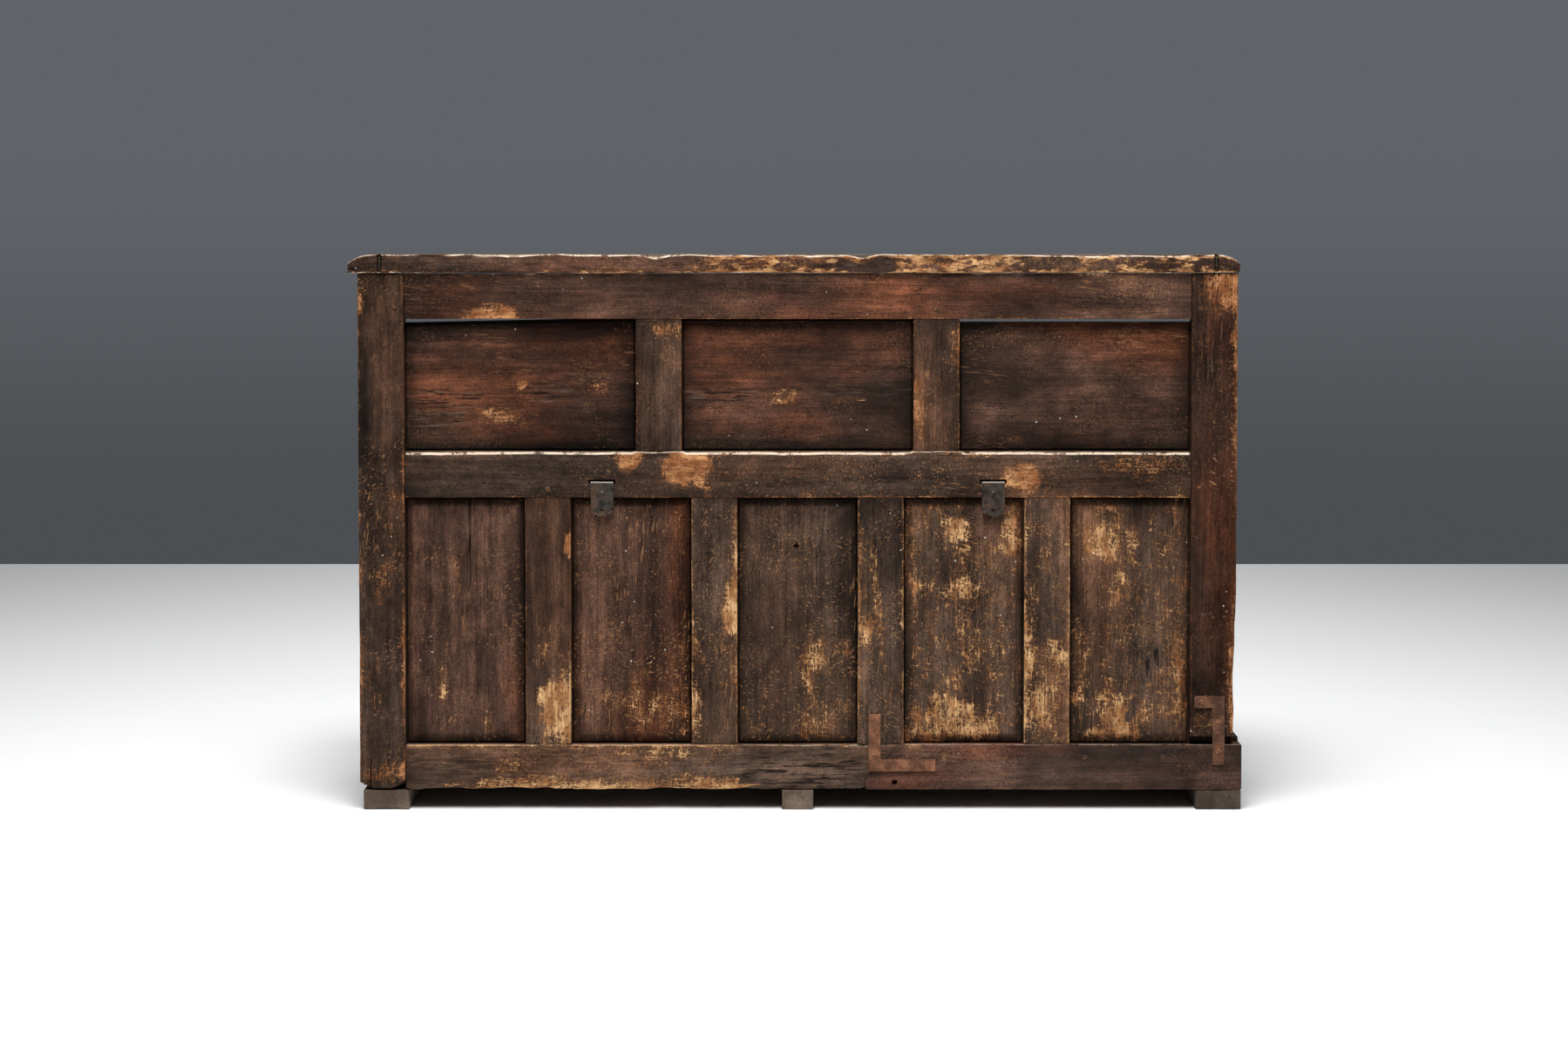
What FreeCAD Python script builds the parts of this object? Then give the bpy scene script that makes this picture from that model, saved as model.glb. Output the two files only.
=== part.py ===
import FreeCAD, Part
import os
import re

# Panelled chest bench: a joined oak back frame with a plank cap, a panelled chest below the seat
# and a hinged seat lid. Millimetres, +Z up, front towards -Y, left and right as seen from the front.
# The origin is on the floor, at the middle of the width and of the depth.

doc = FreeCAD.newDocument("chest_bench")
sheet = doc.addObject("Spreadsheet::Sheet", "dims")

DIMENSIONS = {
    # whole bench
    "carcass_width": 1308,
    "overall_depth": 460,
    "overall_height": 830,
    "seat_height": 488,
    "lid_overhang": 18,
    # skids under the chest
    "skid_height": 30,
    "skid_width": 69,
    "skid_inset": 5,
    "middle_skid_width": 48,
    # frame members
    "post_width": 69,
    "muntin_width": 69,
    "frame_thickness": 36,
    "side_thickness": 30,
    "bottom_rail_height": 68,
    "middle_rail_height": 70,
    "top_rail_height": 68,
    "front_rail_height": 69,
    "rail_chamfer": 7,
    # joints of the frames
    "groove_width": 9,
    "groove_depth": 11,
    "groove_setback": 14,
    "side_setback": 10.5,
    "joint_clearance": 0.2,
    "mortise_spare": 1,
    "tenon_length": 44,
    "tenon_shoulder": 12,
    "side_tenon": 20,
    "muntin_tenon": 26,
    "peg_radius": 4,
    "peg_fit": 0.05,
    "peg_length": 30,
    "side_peg_length": 22,
    "peg_proud": 0.6,
    "peg_inset": 13,
    # panels
    "panel_play": 2,
    "field_margin": 1,
    "lower_rise": 5,
    "lower_bevel": 15,
    "upper_rise": 3,
    "upper_bevel": 34,
    "front_rise": 7,
    "front_bevel": 32,
    "shrink_gap": 4,
    "slip_gap": 5,
    "slip_run": 240,
    # plank cap of the back
    "cap_thickness": 29,
    "cap_front_overhang": 34,
    "cap_rear_overhang": 4,
    "cap_right_overhang": 14,
    "cap_left_overhang": 3,
    "cap_nail_inset": 8,
    # repaired corner at the left rear
    "repair_proud": 9,
    "scarf_from_muntin": 23,
    "scarf_nib": 17,
    "sill_height": 75,
    "rot_height": 12,
    "rot_depth": 15,
    "plug_pitch": 117,
    "plug_rise": 48,
    "open_hole_radius": 4.4,
    "open_hole_depth": 20,
    "open_hole_from_foot": 44,
    "open_hole_rise": 11,
    # chest floor
    "floor_thickness": 18,
    "floor_gap": 1,
    # seat
    "seat_rise": 21,
    "seat_thickness": 24,
    "seat_strip_depth": 80,
    "lid_gap": 5,
    "lid_front_board_width": 180,
    "lid_board_gap": 0.5,
    "batten_width": 55,
    "batten_height": 24,
    "batten_from_end": 214,
    "batten_margin": 14,
    # strap hinges
    "hinge_from_end": 363,
    "strap_width": 34,
    "strap_thickness": 3.5,
    "strap_length": 205,
    "strap_tip": 26,
    "tail_length": 48,
    "tail_clip": 7,
    "tail_nail_rise": 7,
    "tail_hole_radius": 2.6,
    "tail_hole_rise": 9,
    "slot_side_room": 3,
    "slot_head_room": 3,
    "pin_radius": 3.5,
    "hinge_fit": 0.06,
    "pin_head": 2,
    "knuckle_width": 11.5,
    "knuckle_gap": 0.5,
    "knuckle_room": 1,
    # steel corner braces
    "brace_thickness": 2.5,
    "brace_leg": 18,
    "scarf_brace_from_muntin": 18,
    "scarf_brace_rise": 28,
    "scarf_brace_reach": 100,
    "scarf_brace_height": 86,
    "post_brace_inset": 17,
    "post_brace_rise": 38,
    "post_brace_reach": 45,
    "post_brace_height": 103,
    "screw_radius": 2,
    "screw_head_radius": 4,
    "screw_head_height": 1.2,
    "screw_length": 16,
    "screw_margin": 10,
    # nails
    "nail_radius": 2.2,
    "nail_head_radius": 4.5,
    "nail_head_height": 1.6,
    "nail_fit": 0.05,
    "nail_margin": 20,
    "board_nail": 42,
    "cap_nail": 62,
    "strap_nail": 18,
    "tail_nail": 13,
}

for row, (alias, value) in enumerate(DIMENSIONS.items(), start=1):
    sheet.set(f"A{row}", alias)
    sheet.set(f"B{row}", str(value))
    sheet.setAlias(f"B{row}", alias)
doc.recompute()


def formula(text):
    """The text with every dimension's name pointing at the sheet."""
    return re.sub(r"[a-z_]+", lambda word: f"dims.{word[0]}" if word[0] in DIMENSIONS else word[0], text)


def bind(thing, **properties):
    for name, text in properties.items():
        thing.setExpression(name, formula(text))


def place(thing, point, turn=FreeCAD.Rotation()):
    thing.Placement = FreeCAD.Placement(FreeCAD.Vector(), turn)
    for axis, text in zip("xyz", point):
        thing.setExpression(f"Placement.Base.{axis}", formula(text))


def block(x, y, z):
    """A box from (low, high) on each axis."""
    thing = doc.addObject("Part::Box", "block")
    bind(thing, Length=f"({x[1]}) - ({x[0]})", Width=f"({y[1]}) - ({y[0]})", Height=f"({z[1]}) - ({z[0]})")
    place(thing, (x[0], y[0], z[0]))
    return thing


# A wedge primitive tapers along its own Y axis; these turns lay that axis along the bench's axes.
WEDGE_TURNS = {
    "x": FreeCAD.Rotation(FreeCAD.Vector(0, 0, 1), -90),
    "y": FreeCAD.Rotation(),
    "z": FreeCAD.Rotation(FreeCAD.Vector(1, 0, 0), 90),
}


def flipped(span):
    return f"-({span[1]})", f"-({span[0]})"


def taper(axis, run, first, second):
    """A block along an axis that changes from a first cross-section to a second one.

    A cross-section is a pair of (low, high) spans on the two other axes, in the order x, y, z.
    """
    sections = []
    for spans in (first, second):
        if axis == "x":
            sections.append((flipped(spans[0]), spans[1]))
        elif axis == "y":
            sections.append(spans)
        else:
            sections.append((spans[0], flipped(spans[1])))
    (near_x, near_z), (far_x, far_z) = sections
    thing = doc.addObject("Part::Wedge", "taper")
    thing.Placement = FreeCAD.Placement(FreeCAD.Vector(), WEDGE_TURNS[axis])
    bind(thing, Ymin=run[0], Ymax=run[1])
    bind(thing, Xmin=near_x[0], Xmax=near_x[1], Zmin=near_z[0], Zmax=near_z[1])
    bind(thing, X2min=far_x[0], X2max=far_x[1], Z2min=far_z[0], Z2max=far_z[1])
    return thing


DIRECTIONS = {
    "+x": FreeCAD.Vector(1, 0, 0),
    "-x": FreeCAD.Vector(-1, 0, 0),
    "+y": FreeCAD.Vector(0, 1, 0),
    "-y": FreeCAD.Vector(0, -1, 0),
    "+z": FreeCAD.Vector(0, 0, 1),
    "-z": FreeCAD.Vector(0, 0, -1),
}
OPPOSITE = {"+": "-", "-": "+"}


def rod(direction, start, radius, length):
    """A cylinder that runs from a start point in a direction."""
    thing = doc.addObject("Part::Cylinder", "rod")
    bind(thing, Radius=radius, Height=length)
    place(thing, start, FreeCAD.Rotation(FreeCAD.Vector(0, 0, 1), DIRECTIONS[direction]))
    return thing


def along(point, direction, distance):
    """The point moved some way in a direction."""
    moved = list(point)
    axis = "xyz".index(direction[1])
    moved[axis] = f"({point[axis]}) {direction[0]} ({distance})"
    return tuple(moved)


def span(middle, width):
    return f"({middle}) - ({width}) / 2", f"({middle}) + ({width}) / 2"


def grown(limits, extra):
    return f"({limits[0]}) - ({extra})", f"({limits[1]}) + ({extra})"


def mirrored(side, limits):
    """A span on the right (+1), or its mirror image on the left (-1)."""
    return limits if side > 0 else flipped(limits)


# Every piece is a list of solids joined together and a list of solids cut away from them.
added, removed = {}, {}


def add(piece, *solids):
    added.setdefault(piece, []).extend(solids)


def cut(piece, *solids):
    removed.setdefault(piece, []).extend(solids)


def joined(solids):
    if len(solids) == 1:
        return solids[0]
    thing = doc.addObject("Part::MultiFuse", "joined")
    thing.Shapes = solids
    return thing


# Levels and faces
LOWER_SILL = "(skid_height + bottom_rail_height)"
SEAT = "seat_height"
RIM = f"({SEAT} - seat_thickness)"
MIDDLE_RAIL = f"({SEAT} - seat_rise)"
UPPER_SILL = f"({MIDDLE_RAIL} + middle_rail_height)"
CAP_TOP = "overall_height"
CAP = f"({CAP_TOP} - cap_thickness)"
TOP_RAIL = f"({CAP} - top_rail_height)"
FRONT_RAIL = f"({RIM} - front_rail_height)"

HALF = "(carcass_width / 2)"
INNER = f"({HALF} - post_width)"
BACK = "(overall_depth / 2)"
BACK_INSIDE = f"({BACK} - frame_thickness)"
FRONT = "(lid_overhang - overall_depth / 2)"
FRONT_INSIDE = f"({FRONT} + frame_thickness)"

LOWER_BAYS, UPPER_BAYS = 5, 3
OPENING_WIDTH = f"(2 * {INNER})"


class Frame:
    """A flat frame in the width: its depth, its groove and the tongue that fits the groove."""

    def __init__(self, depth, groove, outward):
        self.depth, self.groove, self.outward = depth, groove, outward
        self.tongue = grown(groove, "-joint_clearance")


back_frame = Frame(
    depth=(BACK_INSIDE, BACK),
    groove=(f"{BACK} - groove_setback - groove_width", f"{BACK} - groove_setback"),
    outward="+y",
)
front_frame = Frame(
    depth=(FRONT, FRONT_INSIDE),
    groove=(f"{FRONT} + groove_setback", f"{FRONT} + groove_setback + groove_width"),
    outward="-y",
)


def bay_width(bays):
    return f"(({OPENING_WIDTH} - {bays - 1} * muntin_width) / {bays})"


def bay_middle(bays, index):
    """The middle of one opening, counted from the left."""
    return f"(({index} - {(bays - 1) / 2}) * ({bay_width(bays)} + muntin_width))"


def muntin_middle(bays, index):
    return f"(({index} - {(bays - 2) / 2}) * ({bay_width(bays)} + muntin_width))"


# Fasteners: each one drills the pieces that it passes through.
pegs, frame_nails, lid_nails, screws = [], [], [], []


def peg(surface, direction, *pieces, length="peg_length"):
    start = along(surface, OPPOSITE[direction[0]] + direction[1], "peg_proud")
    pegs.append(rod(direction, start, "peg_radius", length))
    hole = rod(direction, start, "peg_radius + peg_fit", length)
    for piece in pieces:
        cut(piece, hole)


def headed(surface, direction, length, radius, head_radius, head_height):
    """A nail or screw with its head on the surface and its shank inwards."""
    shank = rod(direction, surface, radius, length)
    head = doc.addObject("Part::Cone", "head")
    bind(head, Radius1=head_radius, Radius2=f"{head_radius} / 2", Height=head_height)
    outward = OPPOSITE[direction[0]] + direction[1]
    place(head, surface, FreeCAD.Rotation(FreeCAD.Vector(0, 0, 1), DIRECTIONS[outward]))
    return joined([shank, head])


def nail(nails, surface, direction, length, *pieces):
    nails.append(headed(surface, direction, length, "nail_radius", "nail_head_radius", "nail_head_height"))
    hole = rod(direction, surface, "nail_radius + nail_fit", length)
    for piece in pieces:
        cut(piece, hole)


def screw(surface, *pieces):
    screws.append(headed(surface, "-y", "screw_length", "screw_radius", "screw_head_radius", "screw_head_height"))
    hole = rod("-y", surface, "screw_radius + nail_fit", "screw_length")
    for piece in pieces:
        cut(piece, hole)


# Skids that carry the chest, front to back
SIDES = {"left": -1, "right": 1}
LEFT_END = f"(-{HALF} - repair_proud)"
add("skid_left", block((LEFT_END, f"{LEFT_END} + skid_width"), (FRONT, BACK), ("0", "skid_height")))
add("skid_middle", block(span("0", "middle_skid_width"), (FRONT, BACK), ("0", "skid_height")))
skid_right_end = f"({HALF} - skid_inset)"
add("skid_right", block((f"{skid_right_end} - skid_width", skid_right_end), (FRONT, BACK), ("0", "skid_height")))

# Posts of the back frame; the left one was cut off above the rotten foot and stands on the repair
post_spans = {name: mirrored(side, (INNER, HALF)) for name, side in SIDES.items()}
add("back_post_right", block(post_spans["right"], back_frame.depth, ("skid_height", CAP)))
add("back_post_left", block(post_spans["left"], back_frame.depth, (LOWER_SILL, CAP)))
cut(
    "back_post_left",
    block(post_spans["left"], (f"{BACK} - rot_depth", BACK), (LOWER_SILL, f"{LOWER_SILL} + rot_height")),
)
for name, side in SIDES.items():
    groove = mirrored(side, (INNER, f"{INNER} + groove_depth"))
    for opening in ((LOWER_SILL, MIDDLE_RAIL), (UPPER_SILL, TOP_RAIL)):
        cut(f"back_post_{name}", block(groove, back_frame.groove, grown(opening, "groove_depth")))

# Front stiles
for name, side in SIDES.items():
    stile = f"front_stile_{name}"
    add(stile, block(post_spans[name], front_frame.depth, ("skid_height", RIM)))
    groove = mirrored(side, (INNER, f"{INNER} + groove_depth"))
    cut(stile, block(groove, front_frame.groove, grown((LOWER_SILL, FRONT_RAIL), "groove_depth")))


def rail_tenon(rail, post, frame, side, height):
    """A pegged tenon at one end of a rail, with its mortise in the post."""
    tenon_height = grown(height, "-tenon_shoulder")
    add(rail, block(mirrored(side, (INNER, f"{INNER} + tenon_length")), frame.tongue, tenon_height))
    mortise = mirrored(side, (INNER, f"{INNER} + tenon_length + mortise_spare"))
    cut(post, block(mortise, frame.groove, grown(tenon_height, "joint_clearance")))
    face = frame.depth[1] if frame.outward == "+y" else frame.depth[0]
    inward = OPPOSITE[frame.outward[0]] + "y"
    peg_height = f"({height[0]}) + tenon_shoulder + peg_radius"
    peg((f"{side} * ({INNER} + peg_inset)", face, peg_height), inward, rail, post)


def rail(name, frame, height, posts, grooves):
    """A rail between two posts, grooved for panels on its upper edge, its lower edge or both."""
    width = (f"-{INNER}", INNER)
    add(name, block(width, frame.depth, height))
    for post, side in zip(posts, (-1, 1)):
        rail_tenon(name, post, frame, side, height)
    if "lower" in grooves:
        cut(name, block(width, frame.groove, (height[0], f"{height[0]} + groove_depth")))
    if "upper" in grooves:
        cut(name, block(width, frame.groove, (f"{height[1]} - groove_depth", height[1])))


back_posts = ("back_post_left", "back_post_right")
front_stiles = ("front_stile_left", "front_stile_right")
rail("back_top_rail", back_frame, (TOP_RAIL, CAP), back_posts, ("lower",))
rail("back_middle_rail", back_frame, (MIDDLE_RAIL, UPPER_SILL), back_posts, ("lower", "upper"))
rail("front_top_rail", front_frame, (FRONT_RAIL, RIM), front_stiles, ("lower",))
rail("front_bottom_rail", front_frame, ("skid_height", LOWER_SILL), front_stiles, ("upper",))

# Worn chamfer along the rear top arris of the middle rail
cut(
    "back_middle_rail",
    taper(
        "y",
        (f"{BACK} - rail_chamfer", f"{BACK} + rail_chamfer"),
        ((f"-{INNER}", INNER), (UPPER_SILL, f"{UPPER_SILL} + rail_chamfer")),
        ((f"-{INNER}", INNER), (f"{UPPER_SILL} - 2 * rail_chamfer", f"{UPPER_SILL} + rail_chamfer")),
    ),
)

# Bottom rail of the back: the old part on the right and the repair on the left meet in a slanted scarf
NIB_TOP = "(skid_height + scarf_nib)"
SCARF_MUNTIN = muntin_middle(LOWER_BAYS, 1)
SCARF_FOOT = f"({SCARF_MUNTIN} + scarf_from_muntin)"
SCARF_HEAD = f"({SCARF_FOOT} - bottom_rail_height + scarf_nib)"
REPAIR_PLUGS = 3
bottom_height = ("skid_height", LOWER_SILL)
old_rail, repair_rail = "back_bottom_rail_old", "back_bottom_rail_repair"
add(
    old_rail,
    block((SCARF_FOOT, INNER), back_frame.depth, ("skid_height", NIB_TOP)),
    taper(
        "z",
        (NIB_TOP, LOWER_SILL),
        ((SCARF_FOOT, INNER), back_frame.depth),
        ((SCARF_HEAD, INNER), back_frame.depth),
    ),
)
rail_tenon(old_rail, "back_post_right", back_frame, 1, bottom_height)
add(
    repair_rail,
    block((LEFT_END, SCARF_FOOT), back_frame.depth, ("skid_height", NIB_TOP)),
    taper(
        "z",
        (NIB_TOP, LOWER_SILL),
        ((LEFT_END, SCARF_FOOT), back_frame.depth),
        ((LEFT_END, SCARF_HEAD), back_frame.depth),
    ),
)
bottom_groove = block(
    (f"-{INNER} - groove_depth", INNER),
    back_frame.groove,
    (f"{LOWER_SILL} - groove_depth", LOWER_SILL),
)
cut(old_rail, bottom_groove)
cut(repair_rail, bottom_groove)
for index in range(REPAIR_PLUGS):
    plug_place = (f"{LEFT_END} + {index + 1} * plug_pitch", BACK, "skid_height + plug_rise")
    peg(plug_place, "-y", repair_rail)
open_hole = (f"{SCARF_FOOT} - open_hole_from_foot", BACK, "skid_height + open_hole_rise")
cut(repair_rail, rod("-y", open_hole, "open_hole_radius", "open_hole_depth"))


def muntin_tenon(muntin, rails, frame, middle, foot, sign, length):
    """A tenon on the end of a muntin, with its mortise in the rail or rails that it meets."""
    width = span(middle, "muntin_width - 2 * tenon_shoulder")
    ends = sorted((0, sign))
    add(muntin, block(width, frame.tongue, tuple(f"({foot}) + {end} * ({length})" for end in ends)))
    hole = tuple(f"({foot}) + {end} * ({length} + mortise_spare)" for end in ends)
    for piece in rails:
        cut(piece, block(grown(width, "joint_clearance"), frame.groove, hole))


def muntin(name, frame, middle, height, upper_rail, lower_rails, pegged_below):
    """An upright between two rails, grooved on both edges for the panels."""
    add(name, block(span(middle, "muntin_width"), frame.depth, height))
    for edge in (-1, 1):
        groove_middle = f"({middle}) + {edge} * (muntin_width - groove_depth) / 2"
        cut(name, block(span(groove_middle, "groove_depth"), frame.groove, height))
    face = frame.depth[1] if frame.outward == "+y" else frame.depth[0]
    inward = OPPOSITE[frame.outward[0]] + "y"
    muntin_tenon(name, (upper_rail,), frame, middle, height[1], 1, "muntin_tenon")
    peg((middle, face, f"({height[1]}) + peg_inset"), inward, name, upper_rail)
    if pegged_below:
        muntin_tenon(name, lower_rails, frame, middle, height[0], -1, "muntin_tenon")
        peg((middle, face, f"({height[0]}) - peg_inset"), inward, name, *lower_rails)
    else:
        muntin_tenon(name, lower_rails, frame, middle, height[0], -1, "groove_depth - mortise_spare")


POSITIONS = {2: ("left", "right"), 3: ("left", "middle", "right")}
for index, position in enumerate(POSITIONS[UPPER_BAYS - 1]):
    middle = muntin_middle(UPPER_BAYS, index)
    muntin(
        f"upper_muntin_{position}",
        back_frame,
        middle,
        (UPPER_SILL, TOP_RAIL),
        "back_top_rail",
        ("back_middle_rail",),
        pegged_below=True,
    )
    muntin(
        f"front_muntin_{position}",
        front_frame,
        middle,
        (LOWER_SILL, FRONT_RAIL),
        "front_top_rail",
        ("front_bottom_rail",),
        pegged_below=True,
    )
for index in range(LOWER_BAYS - 1):
    muntin(
        f"lower_muntin_{index + 1}",
        back_frame,
        muntin_middle(LOWER_BAYS, index),
        (LOWER_SILL, MIDDLE_RAIL),
        "back_middle_rail",
        (old_rail, repair_rail),
        pegged_below=False,
    )


def panel(name, frame, middle, bays, height, rise, bevel):
    """A panel loose in its grooves, standing on the lower one, with a bevelled field outwards."""
    sight = span(middle, bay_width(bays))
    plate_height = (f"{height[0]} - groove_depth", f"{height[1]} + groove_depth - panel_play")
    add(name, block(grown(sight, "groove_depth - panel_play"), frame.tongue, plate_height))
    field = (grown(sight, "-field_margin"), grown(height, "-field_margin"))
    raised = tuple(grown(limits, f"-({bevel})") for limits in field)
    if frame.outward == "+y":
        add(name, taper("y", (frame.tongue[1], f"{frame.tongue[1]} + {rise}"), field, raised))
    else:
        add(name, taper("y", (f"{frame.tongue[0]} - {rise}", frame.tongue[0]), raised, field))


for index, position in enumerate(POSITIONS[UPPER_BAYS]):
    middle = bay_middle(UPPER_BAYS, index)
    upper = (UPPER_SILL, TOP_RAIL)
    panel(f"upper_panel_{position}", back_frame, middle, UPPER_BAYS, upper, "upper_rise", "upper_bevel")
    lower = (LOWER_SILL, FRONT_RAIL)
    panel(f"front_panel_{position}", front_frame, middle, UPPER_BAYS, lower, "front_rise", "front_bevel")
for index in range(LOWER_BAYS):
    middle = bay_middle(LOWER_BAYS, index)
    lower = (LOWER_SILL, MIDDLE_RAIL)
    panel(f"lower_panel_{index + 1}", back_frame, middle, LOWER_BAYS, lower, "lower_rise", "lower_bevel")

# The left upper panel has shrunk out of the top groove; the right one has slipped at its outer end
left_panel_width = grown(span(bay_middle(UPPER_BAYS, 0), bay_width(UPPER_BAYS)), "groove_depth")
cut(
    "upper_panel_left",
    block(left_panel_width, back_frame.depth, (f"{TOP_RAIL} - shrink_gap", CAP)),
)
slip_slope = "slip_gap / slip_run"
cut(
    "upper_panel_right",
    taper(
        "x",
        (f"{INNER} - 2 * slip_run", f"{INNER} + groove_depth"),
        (back_frame.depth, (f"{TOP_RAIL} + slip_gap", f"{CAP}")),
        (back_frame.depth, (f"{TOP_RAIL} - slip_gap - groove_depth * {slip_slope}", f"{CAP}")),
    ),
)

# Sides of the chest: a top rail, a bottom rail or repair sill, and one wide panel each
SIDE_OUT = HALF
SIDE_IN = f"({HALF} - side_thickness)"
side_groove = (f"{HALF} - side_setback - groove_width", f"{HALF} - side_setback")
side_tongue = grown(side_groove, "-joint_clearance")
side_run = (FRONT_INSIDE, BACK_INSIDE)


def side_rail(name, side, height, groove_height):
    """A side rail with pegged tenons into the back post and the front stile."""
    label = "left" if side < 0 else "right"
    add(name, block(mirrored(side, (SIDE_IN, SIDE_OUT)), side_run, height))
    cut(name, block(mirrored(side, side_groove), side_run, groove_height))
    tenon_height = grown(height, "-tenon_shoulder")
    inward = "-x" if side > 0 else "+x"
    for post, foot, sign in ((f"back_post_{label}", BACK_INSIDE, 1), (f"front_stile_{label}", FRONT_INSIDE, -1)):
        ends = sorted((0, sign))
        tenon = tuple(f"{foot} + {end} * side_tenon" for end in ends)
        mortise = tuple(f"{foot} + {end} * (side_tenon + mortise_spare)" for end in ends)
        add(name, block(mirrored(side, side_tongue), tenon, tenon_height))
        cut(post, block(mirrored(side, side_groove), mortise, grown(tenon_height, "joint_clearance")))
        middle_height = f"(({height[0]}) + ({height[1]})) / 2"
        peg_depth = f"{foot} + {sign} * peg_inset"
        side_face = (f"{side} * {HALF}", peg_depth, middle_height)
        peg(side_face, inward, name, post, length="side_peg_length")


side_feet = {"left": "(skid_height + sill_height)", "right": LOWER_SILL}
for name, side in SIDES.items():
    top_height = (FRONT_RAIL, RIM)
    side_rail(f"side_top_rail_{name}", side, top_height, (FRONT_RAIL, f"{FRONT_RAIL} + groove_depth"))
    opening = (side_feet[name], FRONT_RAIL)
    for post in (f"back_post_{name}", f"front_stile_{name}"):
        run = grown(side_run, "groove_depth")
        cut(post, block(mirrored(side, side_groove), run, grown(opening, "groove_depth")))
    plate_height = (f"{opening[0]} - groove_depth", f"{opening[1]} + groove_depth - panel_play")
    plate = block(mirrored(side, side_tongue), grown(side_run, "groove_depth - panel_play"), plate_height)
    field = (grown(side_run, "-field_margin"), grown(opening, "-field_margin"))
    raised = tuple(grown(limits, "-front_bevel") for limits in field)
    rise = mirrored(side, (side_tongue[1], f"{side_tongue[1]} + front_rise"))
    near, far = (field, raised) if side > 0 else (raised, field)
    add(f"side_panel_{name}", plate, taper("x", rise, near, far))

side_rail(
    "side_bottom_rail_right",
    1,
    ("skid_height", LOWER_SILL),
    (f"{LOWER_SILL} - groove_depth", LOWER_SILL),
)
sill_top = side_feet["left"]
sill_groove = block(
    mirrored(-1, side_groove),
    grown(side_run, "groove_depth"),
    (f"{sill_top} - groove_depth", sill_top),
)
add("side_sill_left", block((LEFT_END, f"-{SIDE_IN}"), side_run, ("skid_height", sill_top)))
cut("side_sill_left", sill_groove)
cut(repair_rail, sill_groove)

# Floor of the chest: three boards on the skids
FLOOR_BOARDS = ("front", "middle", "back")
floor_room = f"({BACK_INSIDE} - {FRONT_INSIDE} - {len(FLOOR_BOARDS) + 1} * floor_gap)"
floor_width = f"({floor_room} / {len(FLOOR_BOARDS)})"
floor_top = "skid_height + floor_thickness"
skid_middles = {
    "skid_left": f"-{SIDE_IN} + (side_thickness + repair_proud) / 2",
    "skid_middle": "0",
    "skid_right": f"{SIDE_IN} - nail_margin",
}
for index, position in enumerate(FLOOR_BOARDS):
    board = f"floor_board_{position}"
    low = f"{FRONT_INSIDE} + floor_gap + {index} * ({floor_width} + floor_gap)"
    floor_run = (f"-{SIDE_IN} + floor_gap", f"{SIDE_IN} - floor_gap")
    add(board, block(floor_run, (low, f"{low} + {floor_width}"), ("skid_height", floor_top)))
    for skid, middle in skid_middles.items():
        nail(frame_nails, (middle, f"{low} + {floor_width} / 2", floor_top), "-z", "board_nail", board, skid)

# Plank cap nailed on the posts and the top rail
add(
    "back_cap",
    block(
        (f"-{HALF} - cap_left_overhang", f"{HALF} + cap_right_overhang"),
        (f"{BACK_INSIDE} - cap_front_overhang", f"{BACK} + cap_rear_overhang"),
        (CAP, CAP_TOP),
    ),
)
for name, side in SIDES.items():
    cap_nail_depth = f"{BACK} - cap_nail_inset"
    post_middle = f"{side} * ({HALF} - post_width / 2)"
    nail(
        frame_nails,
        (post_middle, cap_nail_depth, CAP_TOP),
        "-z",
        "cap_nail",
        "back_cap",
        f"back_post_{name}",
    )
    rail_place = f"{side} * {bay_width(UPPER_BAYS)} / 2"
    nail(
        frame_nails,
        (rail_place, cap_nail_depth, CAP_TOP),
        "-z",
        "cap_nail",
        "back_cap",
        "back_top_rail",
    )

# Seat: a fixed strip along the back and a lid of two boards on two battens, with a round front edge
seat_height = (RIM, SEAT)
STRIP_FRONT = f"({BACK_INSIDE} - seat_strip_depth)"
add("seat_strip", block((f"-{HALF}", HALF), (STRIP_FRONT, BACK_INSIDE), seat_height))
for name, side in SIDES.items():
    for depth in (f"{STRIP_FRONT} + nail_margin", f"{BACK_INSIDE} - nail_margin"):
        place_on_rail = (f"{side} * ({HALF} - side_thickness / 2)", depth, SEAT)
        nail(frame_nails, place_on_rail, "-z", "board_nail", "seat_strip", f"side_top_rail_{name}")

LID_FRONT = "(-overall_depth / 2)"
LID_BACK = f"({STRIP_FRONT} - lid_gap)"
board_joint = f"({LID_FRONT} + lid_front_board_width)"
board_flat = f"({LID_FRONT} + seat_thickness / 2)"
lid_boards = {
    "lid_board_front": (board_flat, board_joint),
    "lid_board_back": (f"{board_joint} + lid_board_gap", LID_BACK),
}
for board, depth in lid_boards.items():
    add(board, block((f"-{HALF}", HALF), depth, seat_height))
nosing_middle = f"{RIM} + seat_thickness / 2"
add("lid_board_front", rod("+x", (f"-{HALF}", board_flat, nosing_middle), "seat_thickness / 2", "carcass_width"))
batten_run = (f"{FRONT_INSIDE} + batten_margin", f"{LID_BACK} - batten_margin")
for name, side in SIDES.items():
    batten = f"lid_batten_{name}"
    middle = f"{side} * ({HALF} - batten_from_end)"
    add(batten, block(span(middle, "batten_width"), batten_run, (f"{RIM} - batten_height", RIM)))
    nail_rows = {
        "lid_board_front": (f"{batten_run[0]} + nail_margin", f"{board_joint} - nail_margin"),
        "lid_board_back": (f"{board_joint} + nail_margin", f"{batten_run[1]} - nail_margin"),
    }
    for board, depths in nail_rows.items():
        for depth in depths:
            nail(lid_nails, (middle, depth, SEAT), "-z", "board_nail", board, batten)

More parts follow.
